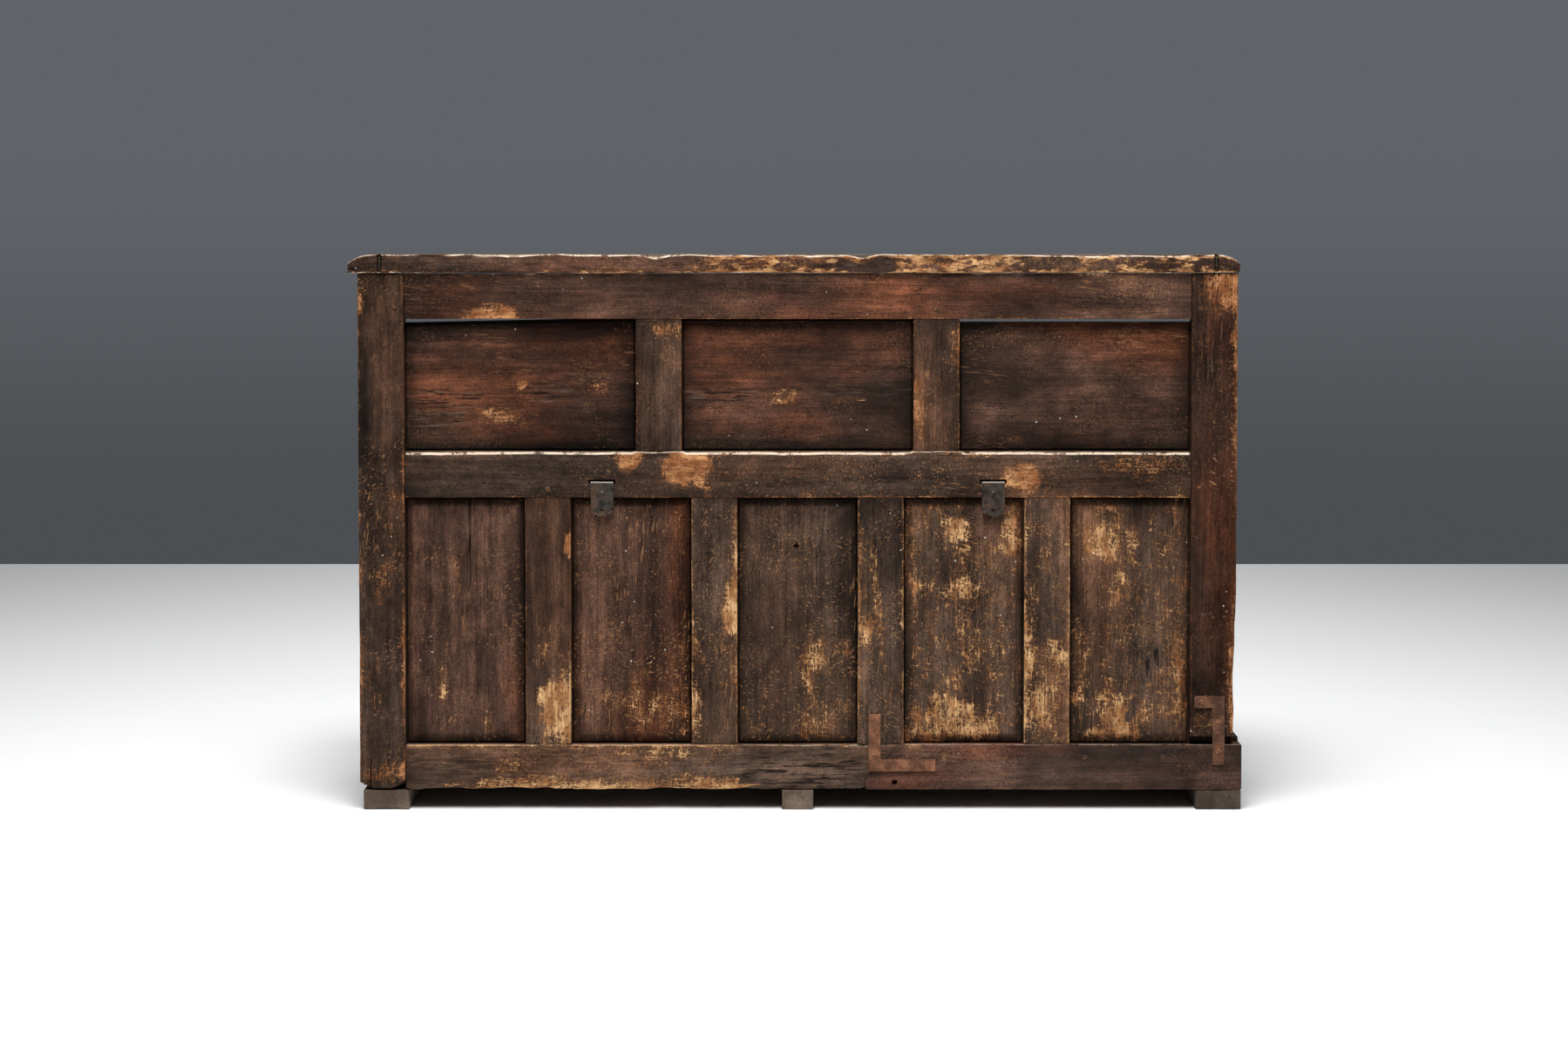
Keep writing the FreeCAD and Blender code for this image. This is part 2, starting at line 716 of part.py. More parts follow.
# Strap hinges: the rear strap lies on the seat strip, goes through the middle rail and is bent down
# over its back; the front strap lies on the lid
KNUCKLE = "(pin_radius + strap_thickness)"
AXIS_DEPTH = f"({STRIP_FRONT} - lid_gap / 2)"
AXIS_HEIGHT = f"({SEAT} + {KNUCKLE})"
CLEAR = f"({KNUCKLE} + knuckle_room)"
strap_height = (SEAT, f"{SEAT} + strap_thickness")
X_AXIS_TURN = FreeCAD.Rotation(FreeCAD.Vector(1, 1, 1), 120)
hinge_pins = []
for name, side in SIDES.items():
    middle = f"({side} * ({HALF} - hinge_from_end))"
    width = span(middle, "strap_width")
    rear, moving = f"hinge_rear_strap_{name}", f"hinge_lid_strap_{name}"
    axis_start = (width[0], AXIS_DEPTH, AXIS_HEIGHT)
    inner_knuckle = span(middle, "knuckle_width")
    inner_room = span(middle, "knuckle_width + 2 * knuckle_gap")

    bend = doc.addObject("Part::Cylinder", "bend")
    bind(bend, Radius="strap_thickness", Height="strap_width")
    bend.Angle = 90
    place(bend, (width[0], BACK, SEAT), X_AXIS_TURN)
    tail_depth = (BACK, f"{BACK} + strap_thickness")
    tail_foot = f"({SEAT} - tail_length)"
    tail_corner = f"({tail_foot} + tail_clip)"
    add(
        rear,
        block(width, (AXIS_DEPTH, BACK), strap_height),
        bend,
        block(width, tail_depth, (tail_corner, SEAT)),
        taper(
            "z",
            (tail_foot, tail_corner),
            (grown(width, "-tail_clip"), tail_depth),
            (width, tail_depth),
        ),
        rod("+x", axis_start, KNUCKLE, "strap_width"),
    )
    around_axis = (f"{AXIS_DEPTH} - {CLEAR}", f"{AXIS_DEPTH} + {CLEAR}")
    above_seat = (SEAT, f"{AXIS_HEIGHT} + {CLEAR}")
    bore = rod("+x", axis_start, "pin_radius + hinge_fit", "strap_width")
    tail_hole = (middle, tail_depth[1], f"{tail_foot} + tail_hole_rise")
    cut(rear, block(inner_room, around_axis, above_seat), bore)
    cut(rear, rod("-y", tail_hole, "tail_hole_radius", "strap_thickness"))

    tip = f"({AXIS_DEPTH} - strap_length)"
    add(
        moving,
        block(inner_knuckle, (f"{AXIS_DEPTH} - {CLEAR}", AXIS_DEPTH), strap_height),
        block(width, (f"{tip} + strap_tip", f"{AXIS_DEPTH} - {CLEAR}"), strap_height),
        taper("y", (tip, f"{tip} + strap_tip"), (span(middle, "strap_width / 3"), strap_height), (width, strap_height)),
        rod("+x", (inner_knuckle[0], AXIS_DEPTH, AXIS_HEIGHT), KNUCKLE, "knuckle_width"),
    )
    cut(moving, bore)

    pin_start = (f"{width[0]} - pin_head", AXIS_DEPTH, AXIS_HEIGHT)
    pin_ends = [rod("+x", point, "pin_radius + strap_thickness / 2", "pin_head")
                for point in (pin_start, (width[1], AXIS_DEPTH, AXIS_HEIGHT))]
    hinge_pins.append(joined([rod("+x", pin_start, "pin_radius", "strap_width + 2 * pin_head"), *pin_ends]))

    slot = (
        grown(width, "slot_side_room"),
        back_frame.depth,
        (SEAT, f"{SEAT} + strap_thickness + slot_head_room"),
    )
    cut("back_middle_rail", block(*slot))
    tail_nail = (middle, tail_depth[1], f"{MIDDLE_RAIL} + tail_nail_rise")
    nail(frame_nails, tail_nail, "-y", "tail_nail", rear, "back_middle_rail")
    strip_nail = (middle, f"{BACK_INSIDE} - seat_strip_depth / 2", strap_height[1])
    nail(frame_nails, strip_nail, "-z", "strap_nail", rear, "seat_strip")
    for share in (1, 2, 3):
        depth = f"{AXIS_DEPTH} - {share} * (strap_length - strap_tip) / 3 + nail_margin / 2"
        lid_nail = (middle, depth, strap_height[1])
        nail(lid_nails, lid_nail, "-z", "strap_nail", moving, "lid_board_front", "lid_board_back")

# Flat steel braces screwed over the scarf and over the cut post
brace_depth = (BACK, f"{BACK} + brace_thickness")
brace_face = brace_depth[1]
scarf_corner = f"({SCARF_MUNTIN} + scarf_brace_from_muntin)"
scarf_foot = "(skid_height + scarf_brace_rise)"
scarf_leg = (f"{scarf_corner} - brace_leg", scarf_corner)
scarf_arm = (scarf_foot, f"{scarf_foot} + brace_leg")
add(
    "brace_scarf",
    block(scarf_leg, brace_depth, (scarf_foot, f"{scarf_foot} + scarf_brace_height")),
    block((f"{scarf_corner} - scarf_brace_reach", scarf_corner), brace_depth, scarf_arm),
)
leg_line = f"{scarf_corner} - brace_leg / 2"
arm_line = f"{scarf_foot} + brace_leg / 2"
behind_scarf = ("brace_scarf", old_rail, repair_rail, "lower_muntin_2")
screw((leg_line, brace_face, f"{scarf_foot} + scarf_brace_height - 2 * screw_margin"), *behind_scarf)
screw((leg_line, brace_face, f"{scarf_foot} + brace_leg + screw_margin / 2"), *behind_scarf)
screw((f"{scarf_corner} - brace_leg - screw_margin", brace_face, arm_line), *behind_scarf)
screw((f"{scarf_corner} - scarf_brace_reach + 2 * screw_margin", brace_face, arm_line), *behind_scarf)

post_corner = f"(-{HALF} + post_brace_inset)"
post_foot = "(skid_height + post_brace_rise)"
post_head = f"({post_foot} + post_brace_height)"
add(
    "brace_post",
    block((post_corner, f"{post_corner} + brace_leg"), brace_depth, (post_foot, post_head)),
    block((post_corner, f"{post_corner} + post_brace_reach"), brace_depth, (f"{post_head} - brace_leg", post_head)),
)
behind_post = ("brace_post", repair_rail, "back_post_left")
post_line = f"{post_corner} + brace_leg / 2"
screw((post_line, brace_face, f"{post_foot} + 2 * screw_margin"), *behind_post)
screw((post_line, brace_face, f"{post_head} - brace_leg - 2 * screw_margin"), *behind_post)
screw((f"{post_corner} + post_brace_reach - screw_margin", brace_face, f"{post_head} - brace_leg / 2"), *behind_post)

# Finished pieces
pieces = []
for label, solids in added.items():
    piece = joined(solids)
    if label in removed:
        whole = piece
        piece = doc.addObject("Part::Cut", "piece")
        piece.Base = whole
        piece.Tool = joined(removed[label])
        piece.Refine = True
    piece.Label = label
    pieces.append(piece)
groups = {
    "frame_pegs": pegs,
    "frame_nails": frame_nails,
    "lid_nails": lid_nails,
    "brace_screws": screws,
    "hinge_pins": hinge_pins,
}
for label, solids in groups.items():
    group = doc.addObject("Part::Compound", "group")
    group.Links = solids
    group.Label = label
    pieces.append(group)

doc.recompute()
for thing in doc.Objects:
    if "Invalid" in thing.State or "Error" in thing.State:
        raise RuntimeError(f"{thing.Label} did not build: {thing.State}")
os.makedirs("parts", exist_ok=True)
for piece in pieces:
    if piece.Shape.isNull() or not piece.Shape.isValid():
        raise RuntimeError(f"{piece.Label} has no valid shape")
    if piece.TypeId != "Part::Compound" and len(piece.Shape.Solids) != 1:
        raise RuntimeError(f"{piece.Label} came apart into {len(piece.Shape.Solids)} solids")
    piece.Shape.exportStep(f"parts/{piece.Label}.step")
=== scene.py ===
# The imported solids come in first, as the fixed frame that every board below is cut to.
# The bench stands on the floor with its back towards +Y, and that back is what the photograph shows.
import math
from types import SimpleNamespace

import bmesh
import bpy
import numpy as np
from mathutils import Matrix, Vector


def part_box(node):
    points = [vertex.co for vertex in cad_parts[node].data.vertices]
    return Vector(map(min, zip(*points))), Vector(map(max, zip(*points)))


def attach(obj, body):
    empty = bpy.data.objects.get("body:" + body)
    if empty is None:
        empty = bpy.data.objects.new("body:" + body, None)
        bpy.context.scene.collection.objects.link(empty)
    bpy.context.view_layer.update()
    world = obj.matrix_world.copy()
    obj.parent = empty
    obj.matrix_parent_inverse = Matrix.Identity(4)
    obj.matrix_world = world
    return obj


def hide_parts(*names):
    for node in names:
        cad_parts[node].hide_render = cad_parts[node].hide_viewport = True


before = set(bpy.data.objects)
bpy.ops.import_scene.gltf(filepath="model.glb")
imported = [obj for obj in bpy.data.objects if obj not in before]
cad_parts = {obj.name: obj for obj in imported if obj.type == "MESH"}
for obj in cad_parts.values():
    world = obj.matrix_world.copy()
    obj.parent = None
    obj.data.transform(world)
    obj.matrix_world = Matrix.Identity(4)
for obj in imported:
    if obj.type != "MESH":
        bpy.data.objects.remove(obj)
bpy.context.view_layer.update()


# Skids: three runners under the chest, from front to back, sawn from bare oak.
# They never had a finish, so they are grey, and dragging over floors has broken their edges.
def corners(node):
    """A solid's lowest and highest corner as arrays, in metres."""
    low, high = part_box(node)
    return np.array(low), np.array(high)


def facing(side):
    """The axis, the sign and the two other axes of a side such as +y."""
    axis = "xyz".index(side[1])
    return axis, 1 if side[0] == "+" else -1, [a for a in range(3) if a != axis]


def wander(points, size, seed):
    """Smooth noise from -1 to 1 at each point. size is the length of its swells, one number or one per axis."""
    apart, primes = np.array([17.31, 9.73, 5.19]), np.array([374761393, 668265263, 1274126177])
    place = points / np.asarray(size, float) + seed * apart
    cell = np.floor(place).astype(np.int64)
    part = place - cell
    part = part * part * (3 - 2 * part)
    total = np.zeros(len(points))
    for corner in np.ndindex(2, 2, 2):
        mixed = (cell + np.array(corner)) @ primes
        mixed = (mixed ^ (mixed >> 13)) * 1103515245
        value = ((mixed ^ (mixed >> 16)) & 0xFFFF) / 32767.5 - 1
        total += value * np.prod(np.where(np.array(corner) == 1, part, 1 - part), axis=1)
    return total


def lines(low, high, step, edge, extra=()):
    """Where a board is cut across: close together near both ends, about every step between, and at extra."""
    inner = edge[-1] if high - low > 2.5 * edge[-1] else (high - low) / 4
    near = [e for e in edge if e < inner] + [inner]
    count = max(1, round((high - low - 2 * inner) / step))
    cuts = [low, high] + [low + e for e in near] + [high - e for e in near]
    cuts += list(np.linspace(low + inner, high - inner, count + 1)[1:-1])
    extra, least = [e for e in extra if low < e < high], 0.0004
    cuts = [c for c in cuts if c in (low, high) or all(abs(c - e) > least for e in extra)]
    return np.unique(np.round(cuts + extra, 6))


def lattice(*sides):
    """Points and four-sided faces of a box whose three sides are cut across at the places given."""
    count = [len(s) for s in sides]
    outer = np.zeros(count, bool)
    for axis in range(3):
        np.moveaxis(outer, axis, 0)[[0, -1]] = True
    number = np.full(count, -1)
    where = np.argwhere(outer)
    number[outer] = np.arange(len(where))
    points = np.stack([np.asarray(s)[where[:, a]] for a, s in enumerate(sides)], axis=1)
    faces = []
    for axis in range(3):
        for end in (0, -1):
            grid = np.moveaxis(number, axis, 0)[end]
            ring = [grid[:-1, :-1], grid[1:, :-1], grid[1:, 1:], grid[:-1, 1:]]
            if (end == 0) != (axis == 1):
                ring.reverse()
            faces.append(np.stack([r.ravel() for r in ring], axis=1))
    return points, np.concatenate(faces)


def stand(name, data):
    """A new object in the scene, from its mesh, lamp or lens."""
    thing = bpy.data.objects.new(name, data)
    bpy.context.scene.collection.objects.link(thing)
    return thing


def smooth_piece(name, mesh, sharpest):
    """A new object that looks smooth, but for the arrises sharper than an angle."""
    mesh.polygons.foreach_set("use_smooth", [True] * len(mesh.polygons))
    mesh.set_sharp_from_angle(angle=math.radians(sharpest))
    mesh.update()
    return stand(name, mesh)


def mesh_piece(name, points, faces, grain=None, wear=None):
    """A new object from points and faces, with its grain direction and its wear kept on the points; the wear's last
    channel is the tone, with the painted shade of boards and panels.
    """
    mesh = bpy.data.meshes.new(name)
    mesh.from_pydata(np.asarray(points).tolist(), [], [list(map(int, f)) for f in faces])
    if grain is not None:
        for key, kind, word, values in (("grain", "FLOAT_VECTOR", "vector", grain),
                                        ("wear", "FLOAT_COLOR", "color", wear)):
            mesh.attributes.new(key, kind, "POINT").data.foreach_set(word, values.astype(np.float32).ravel())
    return smooth_piece(name, mesh, 48)


def along_grain(points, direction, seed):
    """The points turned so that the first number runs along the grain, and moved so that no two boards match."""
    order = {"x": [0, 1, 2], "y": [1, 0, 2], "z": [2, 0, 1]}[direction]
    return points[:, order] + np.array([0.37 * seed, 0.173 * seed, 0.119 * seed])


def patches(points, normal, face, bare):
    """How far each point is worn to pale wood: bare lists ragged patches on one face, each as its place and half size
    on the face's two axes and its strength. A strength below nothing is torn, cracked grain instead."""
    axis, sign, (u, v) = facing(face)
    worn = np.zeros(len(points))
    for at_u, at_v, half_u, half_v, strength in bare:
        away = np.abs((points[:, u] - at_u) / half_u) ** 3 + np.abs((points[:, v] - at_v) / half_v) ** 3
        away = away ** (1 / 3) * (1 + 0.45 * wander(points, 0.028, 21) + 0.3 * wander(points, 0.013, 22))
        spot = strength * np.clip(1.6 - away, 0, 1)
        worn = np.where(np.abs(spot) > np.abs(worn), spot, worn)
    return worn * np.clip(1.6 * normal[:, axis] * sign, 0, 1)


def fit(piece, body, finish, node):
    """Gives a piece the material of its finish, which is a slot and a material, and sets it in the place of its solid.
    The slot is not used.
    """
    slot, material = finish
    piece.data.materials.clear()
    piece.data.materials.append(material)
    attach(piece, body)
    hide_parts(node)


def plank(name, node, finish, grain, rounded, radius, chips, hollow, step=0.008, ends={}, cuts={}, shape=None,
          bare=(), face="+y", inside="", tone=0.5, body="bench"):
    """A worn board in the place of a solid, as long as ends says where its tenons don't show. Its arrises on the axes
    in rounded are rounded over, with deeper chips here and there, and its faces are hollowed a little. inside names
    the face that was never finished, and tone is how light the board is, one number or several along it."""
    low, high = corners(node)
    for letter, (first, last) in ends.items():
        low["xyz".index(letter)], high["xyz".index(letter)] = first, last
    seed = sum(name.encode()) % 89
    near_edge, end_depth, edge_width, end_shade = (0.0008, 0.002, 0.004, 0.007), 0.0012, 0.004, 0.01
    start, faces = lattice(*[lines(low[a], high[a], step, near_edge, cuts.get(c, ())) for a, c in enumerate("xyz")])
    free = np.array([0.0 if c in rounded else 1.0 for c in "xyz"])
    reach = radius * (1 + 0.5 * wander(start, 0.045, seed))
    reach = reach + chips * np.clip(wander(start, 0.03, seed + 1) - 0.2, 0, 1)
    reach = np.clip(reach, 0.0003, 0.49 * min((high - low)[free == 0]))[:, None]
    core = np.clip(start, low - free + reach, high + free - reach)
    out = start - core
    length = np.linalg.norm(out, axis=1, keepdims=True)
    normal = out / np.maximum(length, 1e-9)
    points = np.where(length > reach, core + normal * reach, start)
    swell = [0.15 if c == grain else 0.035 for c in "xyz"]
    depth = hollow * (0.5 + 0.5 * wander(start, swell, seed + 2))
    from_end = np.minimum(start - low, high - start)
    for a in np.flatnonzero(free):
        depth = depth + end_depth * (from_end[:, a] < 1e-6)
    points = points - normal * depth[:, None]
    if shape:
        shape(points, start, normal)
    points = np.clip(points, low, high)
    arris = np.sort(from_end + free, axis=1)[:, 1]
    wear = np.zeros((len(points), 4))
    wear[:, 0] = patches(start, normal, face, bare)
    wear[:, 1] = np.exp(-arris / edge_width)
    for a in np.flatnonzero(free):
        wear[:, 1] *= np.clip(from_end[:, a] / 0.003, 0, 1)
    if inside:
        axis, sign, _ = facing(inside)
        wear[:, 2] = np.clip(1.5 * normal[:, axis] * sign, 0, 1) * np.clip(arris / 0.012, 0, 1)
    run, tones = "xyz".index(grain), np.atleast_1d(tone)
    wear[:, 3] = np.interp(start[:, run], np.linspace(low[run], high[run], len(tones)), tones)
    # Painted shade: the tone is made up to 40% darker near both ends of the board along its grain, where it meets the
    # next part.
    wear[:, 3] *= 1 - 0.4 * np.exp(-from_end[:, run] / end_shade)
    fit(mesh_piece(name, points, faces, along_grain(start, grain, seed), wear), body, finish, node)


class Wiring:
    """The nodes of an effect or a finish: what it is given, where it puts out, and a short word for each node."""

    def __init__(self, owner, tree, given, result):
        self.owner, self.tree, self.given, self.result = owner, tree, given, result

    def feed(self, socket, value):
        """Sets a socket to a number or colour, or links another node's output to it."""
        if isinstance(value, bpy.types.NodeSocket):
            self.tree.links.new(value, socket)
        else:
            socket.default_value = (*value, 1.0) if socket.type == "RGBA" and len(value) == 3 else value

    def out(self, **values):
        """Puts out values to sockets that are named as in Blender, with _ for a space."""
        for key, value in values.items():
            self.feed(self.result[key.replace("_", " ")], value)

    def put(self, kind, settings={}, **inputs):
        """Adds one shader node with its settings and its inputs, named in the same way."""
        node = self.tree.nodes.new("ShaderNode" + kind)
        for key, value in settings.items():
            setattr(node, key, value)
        for key, value in inputs.items():
            self.feed(node.inputs[key.replace("_", " ")], value)
        return node

    def place(self, group, **inputs):
        """The outputs of an effect placed here."""
        return self.put("Group", {"node_tree": group.tree}, **inputs).outputs

    def split(self, vector):
        """The three parts of a vector."""
        return self.put("SeparateXYZ", Vector=vector).outputs

    def calc(self, operation, *values):
        """The result of one sum on numbers that vary over the surface."""
        node = self.put("Math", {"operation": operation})
        for socket, value in zip(node.inputs, values):
            self.feed(socket, value)
        return node.outputs[0]

    def times(self, first, second):
        return self.calc("MULTIPLY", first, second)

    def most(self, first, second):
        return self.calc("MAXIMUM", first, second)

    def plus(self, value, share, base):
        """A share of a value on top of a base."""
        return self.calc("MULTIPLY_ADD", value, share, base)

    def fade(self, value, start, stop, low=0.0, high=1.0):
        """A soft step from low to high as the value goes from start to stop."""
        return self.put("MapRange", {"interpolation_type": "SMOOTHSTEP"}, Value=value, From_Min=start, From_Max=stop,
                        To_Min=low, To_Max=high).outputs["Result"]

    def tint(self, factor, first, second, how="MIX"):
        """One colour laid over another by a factor."""
        node = self.put("Mix", {"data_type": "RGBA", "blend_type": how})
        for socket, value in ((0, factor), (6, first), (7, second)):
            self.feed(node.inputs[socket], value)
        return node.outputs[2]

    def shade(self, colour, by):
        """A colour made darker or lighter."""
        return self.tint(1.0, colour, by, "MULTIPLY")

    def cloud(self, vector, stretch, detail=4.0, rough=0.55, twist=0.0):
        """Noise from 0 to 1 with its own count of swells per metre, one number or one per axis."""
        place = self.put("VectorMath", {"operation": "MULTIPLY"})
        self.feed(place.inputs[0], vector)
        place.inputs[1].default_value = stretch if isinstance(stretch, tuple) else (stretch,) * 3
        return self.put("TexNoise", Vector=place.outputs[0], Scale=1.0, Detail=detail, Roughness=rough,
                        Distortion=twist).outputs["Fac"]

    def bump(self, strength, distance, height):
        """Fine relief from a height."""
        return self.put("Bump", Strength=strength, Distance=distance, Height=height).outputs[0]


def effect(name, inputs, outputs):
    """The wiring of an empty node group with named sockets."""
    tree = bpy.data.node_groups.new(name, "ShaderNodeTree")
    kinds = {"v": "NodeSocketVector", "f": "NodeSocketFloat"}
    for words, way in ((inputs, "INPUT"), (outputs, "OUTPUT")):
        for socket, kind in words.items():
            tree.interface.new_socket(socket, in_out=way, socket_type=kinds[kind])
    return Wiring(tree, tree, tree.nodes.new("NodeGroupInput").outputs, tree.nodes.new("NodeGroupOutput").inputs)


def new_finish(name):
    """The wiring of an empty material, which puts out to its shader."""
    material = bpy.data.materials.new(name)
    material.use_nodes = True
    tree = material.node_tree
    return Wiring(material, tree, None, tree.nodes["Principled BSDF"].inputs)


w = wood_grain = effect("wood grain", {"Grain": "v"}, {"Streak": "f", "Band": "f", "Pore": "f"})
grain = w.given["Grain"]
w.out(Streak=w.cloud(grain, (9, 330, 330), 5, 0.66), Band=w.cloud(grain, (1.6, 13, 13), 4, 0.55, 0.3),
      Pore=w.fade(w.cloud(grain, (30, 560, 560), 2), 0.58, 0.7))

w = hairline_cracks = effect("hairline cracks", {"Grain": "v", "Torn": "f"}, {"Crack": "f"})
grain = w.given["Grain"]
ridge = w.calc("ABSOLUTE", w.calc("SUBTRACT", w.cloud(grain, (3.5, 42, 42), 4, 0.5, 0.3), 0.5))
some = w.fade(w.cloud(grain, (3, 11, 11), 2), 0.58, 0.7)
ripped = w.times(w.given["Torn"], w.fade(w.cloud(grain, (20, 230, 230), 4, 0.65), 0.51, 0.6, 0, 0.9))
w.out(Crack=w.most(ripped, w.times(w.fade(ridge, 0.001, 0.007, 1, 0), some)))

w = worm_holes = effect("worm holes", {"Grain": "v"}, {"Hole": "f"})
grain = w.given["Grain"]
cell = w.put("TexVoronoi", Vector=grain, Scale=140.0).outputs["Distance"]
some = w.fade(w.cloud(grain, (5, 9, 9), 2), 0.42, 0.56)
w.out(Hole=w.times(w.fade(cell, 0.11, 0.18, 1, 0), some))


def wood_marks(w):
    """The grain, wear, cracks and worm holes of one board, by name."""
    grain = w.put("Attribute", {"attribute_name": "grain"}).outputs["Vector"]
    wear = w.put("Attribute", {"attribute_name": "wear"}).outputs
    worn = w.put("SeparateColor", Color=wear["Color"]).outputs
    torn = w.fade(worn["Red"], -0.6, -0.05, 1, 0)
    # The tone holds each board's own tone and the painted shade that plank and panel put into it.
    marks = {"grain": grain, "wear": worn["Red"], "edge": worn["Green"], "inside": worn["Blue"], "tone": wear["Alpha"],
             "torn": torn}
    for group, more in ((wood_grain, {}), (hairline_cracks, {"Torn": torn}), (worm_holes, {})):
        marks.update({socket.name.lower(): socket for socket in w.place(group, Grain=grain, **more)})
    return SimpleNamespace(**marks)


def dark_spots(w, marks, pore):
    """Where cracks, worm holes and a share of the pores show dark."""
    return w.most(w.most(marks.crack, marks.hole), w.times(marks.pore, pore))


def by_tone_and_shade(w, colour, marks):
    """A board's colour made as light as its tone, which also carries the painted shade near the board's ends and round
    the panel fields.
    """
    return w.shade(colour, w.plus(marks.tone, 1.8, 0.1))


def raw_wood(slot, name, band, dark, light, sunk, film, pore, deepest, rough, relief, toned):
    """Sawn oak that never had a finish, in dark and light bands. sunk is the share and colour of its fine streaks,
    and film the swells, break-up, start, stop, share and colour of the stain or dust on it."""
    w = new_finish(name)
    marks = wood_marks(w)
    colour = w.tint(w.fade(marks.band, *band), dark, light)
    colour = w.tint(w.fade(marks.streak, 0.3, 0.75), w.tint(sunk[0], colour, sunk[1]), colour)
    stretch, broken, start, stop, share, hue = film
    film = w.fade(w.cloud(marks.grain, stretch, 5, broken), start, stop)
    colour = w.tint(w.times(film, share), colour, hue)
    if toned:
        colour = by_tone_and_shade(w, colour, marks)
    spots = dark_spots(w, marks, pore)
    w.out(Base_Color=w.tint(spots, colour, deepest), Roughness=w.fade(marks.streak, 0.2, 0.8, *rough),
          Normal=w.bump(*relief, w.calc("SUBTRACT", marks.streak, spots)), Specular_IOR_Level=0.25)
    return slot, w.owner


bare_wood = raw_wood(
    "bare_wood", "bare grey wood", band=(0.32, 0.68), dark=(0.085, 0.058, 0.04), light=(0.215, 0.16, 0.115),
    sunk=(0.55, (0.02, 0.014, 0.01)), film=((9, 22, 22), 0.65, 0.52, 0.68, 0.6, (0.045, 0.026, 0.016)),
    pore=0.5, deepest=(0.008, 0.006, 0.005), rough=(0.72, 0.9), relief=(0.8, 0.0016), toned=True)
for side, tone in (("left", 0.6), ("middle", 1.05), ("right", 1.1)):
    plank("runner_" + side, "skid_" + side, bare_wood, "y", "xyz", 0.0022, 0.006, 0.0014, 0.01, tone=tone)


# Floor boards: three wide sawn boards laid over the skids and nailed down, the bottom of the chest.
# They were left unfinished inside, and have gone a dusty mid brown.
inner_wood = raw_wood(
    "inner_wood", "unfinished inner wood", band=(0.3, 0.7), dark=(0.085, 0.048, 0.028), light=(0.185, 0.112, 0.065),
    sunk=(0.5, (0.03, 0.016, 0.01)), film=((6, 9, 9), 0.6, 0.42, 0.68, 0.35, (0.24, 0.19, 0.15)),
    pore=0.4, deepest=(0.012, 0.008, 0.006), rough=(0.68, 0.86), relief=(0.6, 0.0012), toned=False)
for place, tone in (("front", 0.5), ("middle", 0.6), ("back", 0.45)):
    plank("chest_floor_" + place, "floor_board_" + place, inner_wood, "x", "xyz", 0.0015, 0.002, 0.001, 0.024,
          tone=tone)


# Back posts and front stiles: the uprights of the joined frame, riven oak gone blackish brown under old wax and grime.
# The rails are tenoned and pegged into them. One back post has lost its foot to rot and stands on the repaired rail.
w = worn_patches = effect("worn patches", {"Grain": "v", "Wear": "f", "Edge": "f", "Amount": "f", "Coarse": "f"},
                          {"Bare": "f", "Scuff": "f", "Scratch": "f"})
grain, wear, edge, amount, coarse = [w.given[k] for k in ("Grain", "Wear", "Edge", "Amount", "Coarse")]


def askew(turn):
    """The grain turned out of its own direction."""
    return worn_patches.put("VectorRotate", {"rotation_type": "EULER_XYZ"}, Vector=worn_patches.given["Grain"],
                            Rotation=(0.0, turn, turn)).outputs[0]


stroke = w.most(w.cloud(grain, (40, 400, 400), 3, 0.6), w.cloud(askew(0.2), (480, 50, 50), 3, 0.6))
fine = w.plus(stroke, 0.48, w.times(w.cloud(grain, (190, 330, 330), 5, 0.75), 0.52))
flake = w.cloud(grain, (48, 120, 120), 6, 0.66)
broken = w.plus(w.calc("SUBTRACT", flake, fine), coarse, fine)
level = w.plus(w.cloud(grain, (7, 16, 16), 4, 0.6), 0.25, amount)
for part, share in ((w.cloud(grain, (34, 70, 70), 4, 0.65), 0.17), (broken, 0.58), (wear, 0.32), (edge, 0.125)):
    level = w.plus(part, share, level)
rubbed = w.times(w.fade(wear, 0.0, 0.16, 0.15, 1.0), w.fade(w.cloud(grain, (6, 12, 12), 3), 0.42, 0.6))
chips = w.times(w.fade(w.cloud(grain, (250, 340, 340), 4, 0.6), 0.625, 0.67, 0, 0.85), rubbed)
scratch = 0.0
for turn, often in ((0.85, 0.5), (-1.05, 0.53), (0.12, 0.55)):
    lie = askew(turn)
    some = w.fade(w.cloud(lie, (5, 11, 11), 2), often, often + 0.1)
    scratch = w.most(w.times(w.fade(w.cloud(lie, (12, 330, 330), 2, 0.5), 0.605, 0.665), some), scratch)
w.out(Bare=w.most(w.fade(level, 0.645, 0.668), chips), Scuff=w.fade(level, 0.595, 0.66),
      Scratch=w.times(scratch, w.fade(wear, 0.0, 0.12, 0.35, 1.0)))

# Dusty film and specks, and a painted highlight: upward arrises on the back of the bench are made pale, less so below
# 0.4 m.
w = dust_and_ledge_highlight = effect("house dust", {"Grain": "v", "Edge": "f"}, {"Film": "f", "Ledge": "f", "Speck": "f"})
grain, where = w.given["Grain"], w.put("TexCoord").outputs
upward, place = w.split(where["Normal"])["Z"], w.split(where["Object"])
film = w.fade(w.cloud(where["Object"], 7, 6, 0.65), 0.38, 0.66)
ledge_dust_and_highlight = w.fade(w.cloud(where["Object"], 60, 6, 0.8), 0.4, 0.5)
for share in (w.fade(upward, 0.3, 0.65), w.fade(w.given["Edge"], 0.25, 0.6), w.fade(place["Y"], 0.2, 0.222),
              w.fade(place["Z"], 0.1, 0.4, 0.35, 1.0)):
    ledge_dust_and_highlight = w.times(ledge_dust_and_highlight, share)
mote = w.put("TexVoronoi", Vector=grain, Scale=60.0).outputs["Distance"]
some = w.fade(w.cloud(grain, (5, 9, 9), 2), 0.58, 0.66)
w.out(Film=w.times(film, w.fade(place["Z"], 0.0, 0.62, 1.0, 0.45)), Ledge=ledge_dust_and_highlight,
      Speck=w.times(w.fade(mote, 0.055, 0.09, 1, 0), some))


